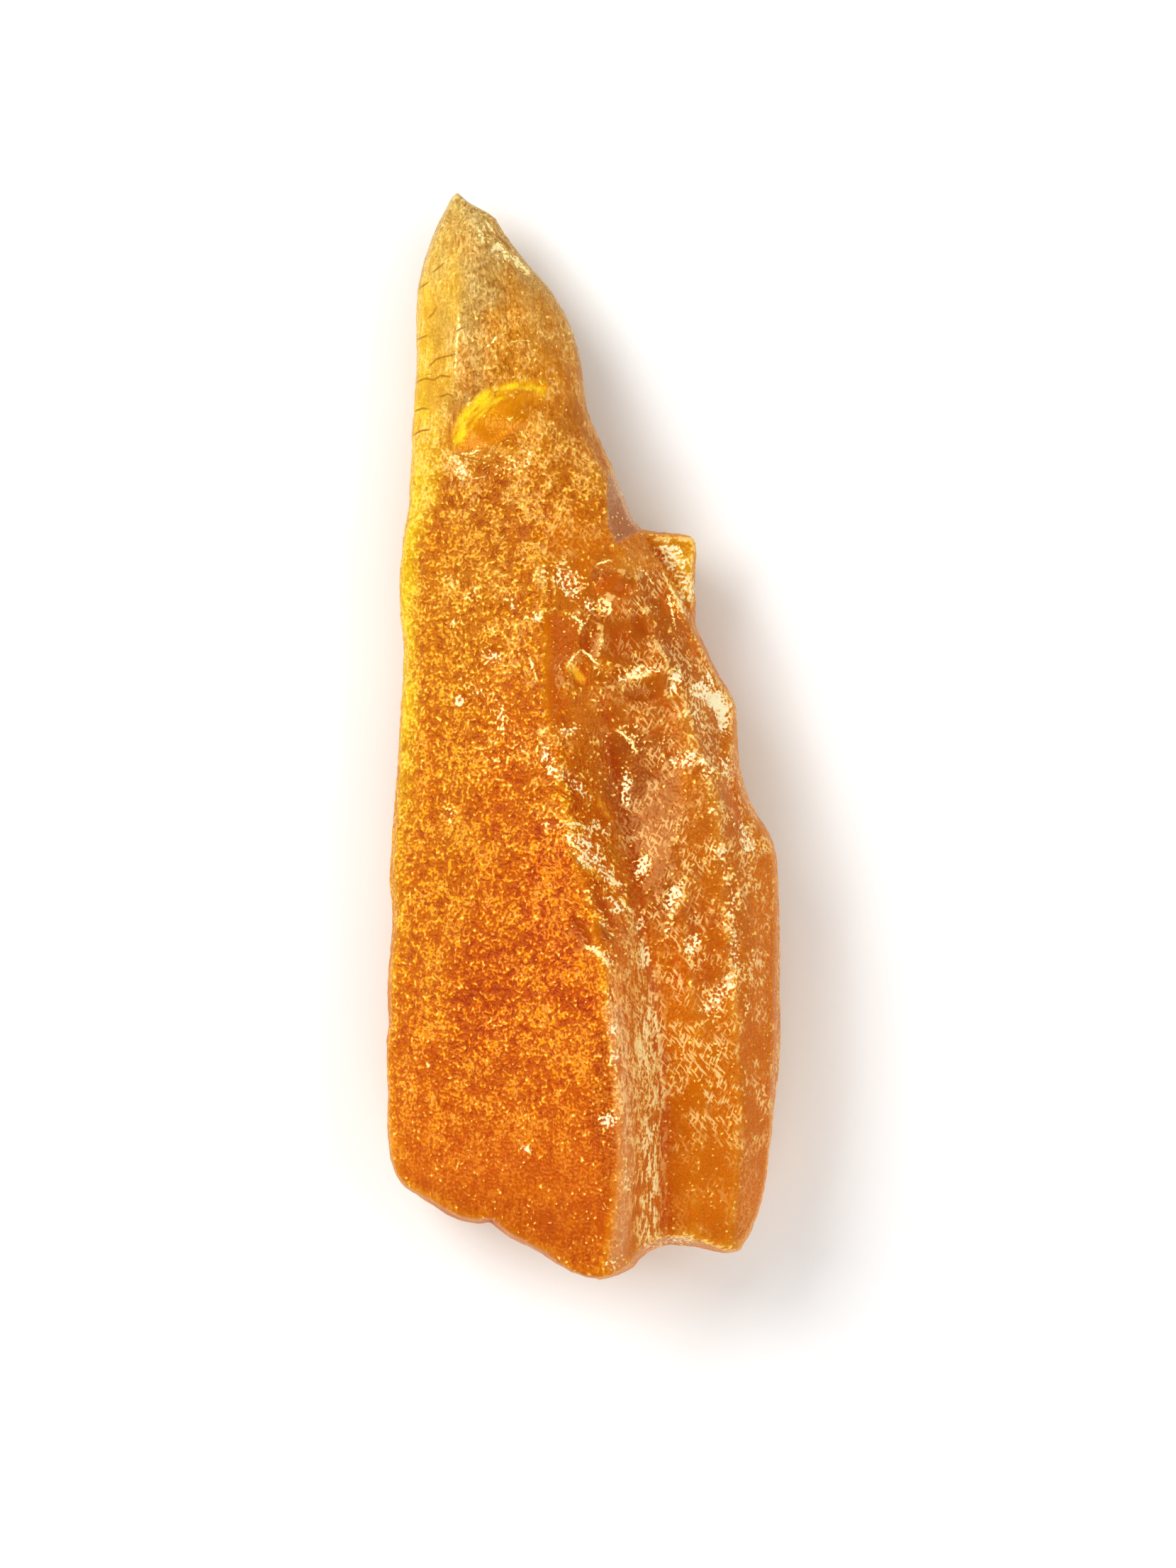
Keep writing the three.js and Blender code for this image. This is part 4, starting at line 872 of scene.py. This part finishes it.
# pale lines: scratches near the point, and pale painted highlights on facet ridges in the broken middle
scratch_and_glint, scratch_and_glint_near = marks([
    [[642, 530], [643, 505], [645, 480], [648, 458], [646, 442]], [[685, 493], [694, 485], [703, 477], [715, 471]],
    [[641, 645], [652, 640], [664, 642], [677, 636]], [[748, 928], [752, 944], [758, 962]],
    [1.5, [672, 318], [679, 330], [682, 344]], [1.6, [692, 356], [701, 343], [710, 351], [713, 362]], [1.9, [729, 363], [738, 374], [746, 386]],
    [1.4, [714, 356], [724, 363], [731, 374]], [1.2, [684, 308], [690, 318], [698, 326]],
    [1.1, [799, 944], [809, 927], [820, 918], [832, 927], [844, 940]], [1.2, [802, 866], [812, 874], [821, 880], [817, 897]],
    [1.1, [842, 799], [852, 794], [863, 792]], [1.0, [901, 801], [911, 811], [922, 826]],
    [1.2, [847, 843], [845, 853], [848, 863], [852, 866], [855, 860], [853, 849], [848, 842]], [1.4, [858, 850], [861, 860], [856, 870]],
    [1.3, [934, 806], [944, 828], [955, 846], [964, 866]], [1.2, [944, 846], [948, 866], [952, 884]],
    [1.7, [868, 1031], [880, 1037], [890, 1047], [899, 1063]], [1.1, [858, 1234], [866, 1240], [874, 1250]], [1.2, [872, 1264], [882, 1276], [892, 1285]],
    [1.5, [800, 1184], [814, 1194], [828, 1204]], [1.7, [824, 1332], [838, 1336], [850, 1347], [860, 1360]],
    [1.0, [853, 1309], [861, 1315], [871, 1319]], [1.2, [798, 1162], [812, 1161], [828, 1166]],
    [1.5, [880, 944], [888, 956], [902, 957], [914, 950]], [1.2, [905, 1330], [907, 1346], [906, 1364]],
])
lined = np.clip(1 - to_line(tx, ty, [[650, 290], [664, 340], [672, 400], [684, 460], [700, 530]]) / 62, 0, 1) ** 0.5
lined = (0.24 + 0.76 * lined) * step(640, 520, ty) * up * (1 - 0.9 * lens) * (1 - 0.75 * np.clip(painted_glow, 0, 1))
masks = {
    "lined": lined, "press": np.clip(crumbs_and_glints + 0.9 * patchy, 0, 2.2) * step(0.05, 0.22, crumbs_and_glints), "edge": edge,
    "rind": np.maximum(frost * (1 - 0.85 * np.clip(clear, 0, 1)), 0.5 * step(640, 520, ty) * up) * (1 - 0.8 * lens), "streak": streak, "loose": patchy,
    "glint_strokes": glint_strokes * step(-0.12, 0.10, patchy) * (1 - 0.85 * lens), "band": band, "through": through, "dull": dull, "clear": clear,
    "crack": crack, "crack_near": crack_near, "scratch_and_glint": scratch_and_glint, "scratch_and_glint_near": scratch_and_glint_near,
}
vectors = {"bend": bend, "tint": tint}

# ==== fine relief along the normals ==========================================================================
grain = fbm(px / 0.5, py / 0.6, pz / 0.5, 3, 0.55)
move = 0.032 * frost * (1 - 0.85 * np.clip(clear, 0, 1)) * grain
move += -0.045 * np.clip(crumbs_and_glints, 0, 1) * step(0.0, 0.6, fbm(px / 0.4 + 9, py / 0.45, pz / 0.4, 2))
# shell ripples on the sides and the underside
for p, low, nrm, r, depth in SCARS[::2]:
    d = np.sqrt((px - p[0]) ** 2 + (py - p[1]) ** 2)
    move += 0.012 * beside * np.exp(-((d / 2.6) ** 2)) * np.sin(d * 9.5 + 1.3 * soft)
move = np.where(resting, 0, move)
points = points + normals * move[:, None]
points[:, 2] = np.maximum(points[:, 2], 0)

mesh = bpy.data.meshes.new("copal_shard")
mesh.vertices.add(len(points))
mesh.vertices.foreach_set("co", (points / 1000).astype(np.float32).ravel())
mesh.loops.add(quads.size)
mesh.loops.foreach_set("vertex_index", quads.astype(np.int32).ravel())
mesh.polygons.add(len(quads))
mesh.polygons.foreach_set("loop_start", np.arange(0, quads.size, 4, dtype=np.int32))
mesh.update(calc_edges=True)
mesh.polygons.foreach_set("use_smooth", np.ones(len(quads), bool))
for name, values in masks.items():
    mesh.attributes.new(name, "FLOAT", "POINT").data.foreach_set("value", values.astype(np.float32))
for name, values in vectors.items():
    mesh.attributes.new(name, "FLOAT_VECTOR", "POINT").data.foreach_set("vector", values.astype(np.float32).ravel())
mesh.validate()
stone = bpy.data.objects.new("copal_shard", mesh)
bpy.context.scene.collection.objects.link(stone)


# ==== the resin ================================================================================================
class Nodes:
    """A small helper that builds a material's node tree."""

    def __init__(self, name):
        self.material = bpy.data.materials.new(name)
        self.material.use_nodes = True
        self.tree = self.material.node_tree
        self.tree.nodes.clear()

    def put(self, socket, value):
        if isinstance(value, bpy.types.NodeSocket):
            self.tree.links.new(value, socket)
        elif isinstance(value, tuple) and len(value) == 3 and socket.type == "RGBA":
            socket.default_value = (*value, 1)
        else:
            socket.default_value = value

    def node(self, kind, out=0, props=None, **inputs):
        node = self.tree.nodes.new(kind)
        for key, value in (props or {}).items():
            setattr(node, key, value)
        for key, value in inputs.items():
            self.put(node.inputs[key.replace("_", " ")], value)
        return node.outputs[out]

    def math(self, op, a, b=None, clamp=False):
        node = self.tree.nodes.new("ShaderNodeMath")
        node.operation = op
        node.use_clamp = clamp
        for i, v in enumerate((a, b)):
            if v is not None:
                self.put(node.inputs[i], v)
        return node.outputs[0]

    def mul(self, a, b):
        return self.math("MULTIPLY", a, b)

    def add(self, a, b):
        return self.math("ADD", a, b)

    def sub(self, a, b):
        return self.math("SUBTRACT", a, b)

    def inv(self, a):
        return self.math("SUBTRACT", 1.0, a, clamp=True)

    def most(self, a, b):
        return self.math("MAXIMUM", a, b, clamp=True)

    def attribute(self, name):
        return self.node("ShaderNodeAttribute", "Fac", {"attribute_name": name})

    def mapped(self, vector, scale, turn=0.0):
        return self.node("ShaderNodeMapping", 0, Vector=vector, Scale=scale, Rotation=(0, 0, turn))

    def noise(self, vector, scale, detail=2.0, rough=0.5, distort=0.0, out="Fac"):
        return self.node("ShaderNodeTexNoise", out, Vector=vector, Scale=scale, Detail=detail, Roughness=rough, Distortion=distort)

    def cells(self, vector, scale, feature="F1", out="Distance"):
        return self.node("ShaderNodeTexVoronoi", out, {"feature": feature}, Vector=vector, Scale=scale)

    def ramp(self, value, lo, hi, a=0.0, b=1.0):
        """a below lo, b above hi. lo may be the larger of the two."""
        if lo > hi:
            lo, hi, a, b = hi, lo, b, a
        return self.node(
            "ShaderNodeMapRange", 0, {"interpolation_type": "SMOOTHSTEP"}, Value=value, From_Min=lo, From_Max=hi, To_Min=a, To_Max=b
        )

    def blend(self, share, a, b):
        """A colour: a where share is 0, b where it is 1."""
        node = self.tree.nodes.new("ShaderNodeMix")
        node.data_type = "RGBA"
        self.put(node.inputs[0], share)
        self.put(node.inputs[6], a)
        self.put(node.inputs[7], b)
        return node.outputs[2]

    def lerp(self, share, a, b):
        node = self.tree.nodes.new("ShaderNodeMix")
        node.data_type = "FLOAT"
        self.put(node.inputs[0], share)
        self.put(node.inputs[2], a)
        self.put(node.inputs[3], b)
        return node.outputs[0]


SPECULAR, SPECULAR_TINT = 0.27, (1.0, 0.77, 0.42)
ABSORB_COLOUR, ABSORB_DENSITY = (0.98, 0.86, 0.20), 150.0
# colour of the painted glints
GLINT_COLOUR = (1.0, 0.74, 0.35)
# painted shade in the grooves and painted light on the crests near the point
GROOVE_SHADE_COLOUR, CREST_LIGHT_COLOUR = (0.60, 0.27, 0.014), (1.0, 0.72, 0.24)
GOLD_COLOUR = (1.0, 0.72, 0.20)
BRUISE_COLOUR = (1.0, 0.60, 0.17)
VEIN_COLOUR = (1.0, 0.80, 0.44)
CREAM_COLOUR = (1.0, 0.90, 0.60)
# pale of the scratches and of the painted highlights on facet ridges
LINE_COLOUR = (1.0, 0.86, 0.44)
NET_COLOUR = (1.0, 0.66, 0.24)
CRACK_COLOUR = (0.38, 0.16, 0.01)


def resin():
    m = Nodes("copal_resin")
    at = m.node("ShaderNodeTexCoord", "Object")
    mm = m.mapped(at, (1000, 1000, 1000))
    bent = m.node("ShaderNodeVectorMath", 0, {"operation": "ADD"})
    add = m.tree.nodes[-1]
    m.put(add.inputs[0], mm)
    m.put(add.inputs[1], m.node("ShaderNodeAttribute", "Vector", {"attribute_name": "bend"}))
    tint = m.node("ShaderNodeAttribute", "Color", {"attribute_name": "tint"})
    press, rind, streak, loose = (m.attribute(a) for a in ("press", "rind", "streak", "loose"))

    # patterns over millimetres
    grain = m.noise(bent, 3.1, 2.0, 0.60)
    fine = m.noise(mm, 6.4, 0.0)
    lines = m.noise(m.mapped(at, (4600, 1150, 4600)), 1.0, 2.0, 0.62)
    mixed = m.lerp(streak, grain, lines)
    finer = m.sub(fine, 0.5)
    shards = m.node("ShaderNodeMapping", 0, {"vector_type": "TEXTURE"}, Vector=bent, Rotation=(0, 0, -0.75), Scale=(1.9, 0.85, 1.0))
    cell = m.node("ShaderNodeSeparateColor", 0, Color=m.cells(shards, 5.8, "F1", "Color"))
    chance = cell.node.outputs[1]

    # a light network and specks around darker pits: the rind's own grain, with painted sparkle in the pale specks and
    # painted shade in the pits
    seam = m.math("ABSOLUTE", m.sub(mixed, 0.5))
    net = m.mul(m.ramp(seam, 0.045, 0.010), m.ramp(m.add(fine, loose), 0.36, 0.58))
    speck_and_sparkle = m.ramp(m.add(m.add(mixed, m.mul(m.mul(finer, 0.8), m.inv(m.mul(streak, 0.75)))), m.mul(loose, 0.20)), 0.53, 0.68)
    light = m.mul(m.most(net, speck_and_sparkle), rind)
    pit_and_shade = m.mul(m.ramp(m.add(m.sub(mixed, m.mul(finer, 0.4)), m.mul(loose, 0.25)), 0.46, 0.34), rind)
    # painted highlight along the sharp ridges
    glint = m.ramp(m.add(m.attribute("edge"), m.mul(finer, 0.9)), 0.34, 0.66)

    # fine wavy lines along the point: painted shade in the grooves between pale crests of painted light
    lined = m.attribute("lined")
    waves = m.noise(m.mapped(bent, (6.4, 3.1, 6.4), 0.16), 1.0, 2.0, 0.58, 0.8)
    groove_shade = m.mul(m.ramp(m.add(waves, m.mul(finer, 0.12)), 0.49, 0.37), lined)
    crest_light = m.mul(m.ramp(m.add(waves, m.mul(finer, 0.12)), 0.54, 0.65), lined)

    # pale crumb cells: small cells turned pale, more of them where the place is bruised, and some on the glassy ridges
    # as painted highlight
    crumb = m.ramp(m.add(m.add(m.mul(press, 0.42), m.mul(grain, 0.5)), m.sub(cell, 1.25)), 0.0, 0.10)
    crumb = m.mul(crumb, m.ramp(m.add(fine, m.mul(press, 0.18)), 0.42, 0.60))
    crumb = m.mul(crumb, m.ramp(m.add(chance, m.mul(press, 0.25)), 0.0, 0.95, 0.25, 1.0))
    finest = m.noise(mm, 11.5, 0.0)
    crumb = m.mul(crumb, m.ramp(m.add(finest, m.mul(press, 0.10)), 0.40, 0.60, 0.30, 1.0))
    bruise = m.ramp(m.add(press, m.mul(finer, 0.8)), 0.45, 1.5)
    # fine pale specks: pale flecks of the bruised places, and scattered painted sparkle elsewhere
    powder_and_sparkle = m.ramp(m.add(m.mul(press, 0.26), m.sub(m.add(fine, m.mul(grain, 0.5)), 0.98)), 0.02, 0.10)
    # short painted glints, thin strokes in two directions
    turned = {"vector_type": "TEXTURE"}
    h1 = m.noise(m.node("ShaderNodeMapping", 0, turned, Vector=mm, Rotation=(0, 0, 0.7), Scale=(0.11, 0.52, 0.2)), 1.0, 0.0)
    h2 = m.noise(m.node("ShaderNodeMapping", 0, turned, Vector=mm, Rotation=(0, 0, -0.35), Scale=(0.105, 0.48, 0.2)), 1.0, 0.0)
    glint_stroke = m.mul(m.ramp(m.most(h1, h2), 0.575, 0.665), m.attribute("glint_strokes"))
    vein = m.mul(m.ramp(m.add(lines, m.mul(finer, 0.3)), 0.48, 0.60), m.attribute("band"))
    # thin pale scratches and dark cracks near the point, and pale painted highlights on facet ridges in the broken
    # middle
    scratch_and_glint = m.mul(m.ramp(m.add(m.math("ABSOLUTE", m.attribute("scratch_and_glint")), m.mul(finer, 0.22)), 0.058, 0.022), m.attribute("scratch_and_glint_near"))
    crack = m.mul(m.ramp(m.math("ABSOLUTE", m.attribute("crack")), 0.07, 0.03), m.attribute("crack_near"))
    white = m.most(m.most(crumb, powder_and_sparkle), m.most(vein, scratch_and_glint))

    # painted shade in the pits, then the rind's grain with painted sparkle in its pale specks
    body = m.blend(pit_and_shade, tint, m.node("ShaderNodeGamma", 0, Color=tint, Gamma=1.2))
    body = m.blend(light, body, m.blend(m.mul(net, 0.34), m.node("ShaderNodeGamma", 0, Color=tint, Gamma=0.66), NET_COLOUR))
    # painted shade in the grooves and painted light on the crests near the point
    body = m.blend(m.mul(groove_shade, 0.66), body, GROOVE_SHADE_COLOUR)
    body = m.blend(m.mul(crest_light, 0.62), body, CREST_LIGHT_COLOUR)
    # painted glints in short strokes
    body = m.blend(m.mul(glint_stroke, 0.85), body, GLINT_COLOUR)
    body = m.blend(m.mul(bruise, 0.45), body, BRUISE_COLOUR)
    # painted highlight along the sharp ridges
    body = m.blend(m.mul(glint, 0.6), body, GLINT_COLOUR)
    pale = m.blend(m.ramp(m.add(press, grain), 0.75, 1.35), GOLD_COLOUR, CREAM_COLOUR)
    pale = m.blend(vein, pale, VEIN_COLOUR)
    pale = m.blend(scratch_and_glint, pale, LINE_COLOUR)
    body = m.blend(white, body, pale)
    body = m.blend(m.mul(crack, 0.85), body, CRACK_COLOUR)

    through = m.sub(m.add(m.attribute("through"), m.mul(pit_and_shade, 0.13)), m.add(m.mul(m.most(light, bruise), 0.40), m.mul(m.most(glint_stroke, glint), 0.32)))
    through = m.add(through, m.sub(m.mul(groove_shade, 0.12), m.mul(crest_light, 0.20)))
    through = m.lerp(m.most(white, crack), m.math("MAXIMUM", through, 0.15), 0.06)
    dull = m.add(m.attribute("dull"), m.mul(finer, 0.16))
    dull = m.lerp(m.most(white, m.mul(lined, 0.6)), dull, 0.42)

    smooth = m.inv(m.mul(m.attribute("clear"), 0.85))
    height = m.add(m.mul(m.mul(mixed, 0.66), m.most(smooth, streak)), m.mul(m.mul(fine, 0.38), smooth))
    bump = m.node("ShaderNodeBump", 0, Height=height, Strength=1.0, Distance=0.0002)

    shader = m.tree.nodes.new("ShaderNodeBsdfPrincipled")
    shader.inputs["IOR"].default_value = 1.54
    shader.inputs["Specular IOR Level"].default_value = SPECULAR
    shader.inputs["Specular Tint"].default_value = (*SPECULAR_TINT, 1)
    m.put(shader.inputs["Base Color"], body)
    m.put(shader.inputs["Roughness"], dull)
    m.put(shader.inputs["Transmission Weight"], through)
    m.put(shader.inputs["Normal"], bump)
    volume = m.tree.nodes.new("ShaderNodeVolumeAbsorption")
    volume.inputs["Color"].default_value = (*ABSORB_COLOUR, 1)
    volume.inputs["Density"].default_value = ABSORB_DENSITY
    out = m.tree.nodes.new("ShaderNodeOutputMaterial")
    m.put(out.inputs["Surface"], shader.outputs[0])
    m.put(out.inputs["Volume"], volume.outputs[0])
    return m.material


stone.data.materials.append(resin())
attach(stone, "root")
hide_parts("copal")


# ==== the floor and the studio ====================================================================================
def floor():
    m = Nodes("studio_floor")
    shader = m.tree.nodes.new("ShaderNodeBsdfPrincipled")
    m.put(shader.inputs["Base Color"], (0.92, 0.92, 0.916))
    shader.inputs["Roughness"].default_value = 0.75
    out = m.tree.nodes.new("ShaderNodeOutputMaterial")
    m.put(out.inputs["Surface"], shader.outputs[0])
    data = bpy.data.meshes.new("studio_floor")
    s = 3.0
    data.from_pydata([(-s, -s, 0), (s, -s, 0), (s, s, 0), (-s, s, 0)], [], [(0, 1, 2, 3)])
    data.materials.append(m.material)
    ob = bpy.data.objects.new("studio_floor", data)
    ob.location.z = -0.00002
    bpy.context.scene.collection.objects.link(ob)


floor()


def lamp(name, where, size, power, colour=(1, 1, 1)):
    data = bpy.data.lights.new(name, "AREA")
    data.shape = "SQUARE"
    data.size = size
    data.energy = power
    data.color = colour
    ob = bpy.data.objects.new(name, data)
    ob.location = where
    ob.rotation_euler = (-Vector(where)).to_track_quat("-Z", "Y").to_euler()
    bpy.context.scene.collection.objects.link(ob)


lamp("key", (-0.55, 0.35, 0.55), 0.60, 4.4, (1.0, 0.985, 0.965))
lamp("fill", (0.60, 0.05, 0.45), 0.60, 1.5, (0.975, 0.985, 1.0))
lamp("low", (0.0, -0.60, 0.40), 0.50, 1.0, (1.0, 0.99, 0.975))

world = bpy.data.worlds.new("studio")
bpy.context.scene.world = world
world.use_nodes = True
world.node_tree.nodes["Background"].inputs["Color"].default_value = (0.96, 0.975, 1.0, 1)
world.node_tree.nodes["Background"].inputs["Strength"].default_value = 0.36

# ==== the camera: straight down on the shard ========================================================================
IMAGE_W, IMAGE_H = 1659, 2212
PLANE = 0.0045  # height at which the shard's outline has its true size in the picture
FAR = 0.40
cam_data = bpy.data.cameras.new("camera")
cam = bpy.data.objects.new("camera", cam_data)
bpy.context.scene.collection.objects.link(cam)
cam_data.sensor_width = 36.0
cam_data.lens = 36.0 * FAR / (IMAGE_H * U / 1000)
cam_data.clip_start, cam_data.clip_end = 0.01, 20.0
cam.location = (X(IMAGE_W / 2) / 1000, Y(IMAGE_H / 2) / 1000, PLANE + FAR)
cam.rotation_euler = (0, 0, 0)
bpy.context.scene.camera = cam
bpy.context.scene.view_settings.view_transform = "Standard"
bpy.context.scene.view_settings.look = "High Contrast"
bpy.context.scene.cycles.max_bounces = 6
bpy.context.scene.cycles.transmission_bounces = 6
bpy.context.scene.cycles.glossy_bounces = 2
bpy.context.scene.cycles.diffuse_bounces = 2
bpy.context.scene.cycles.use_light_tree = False
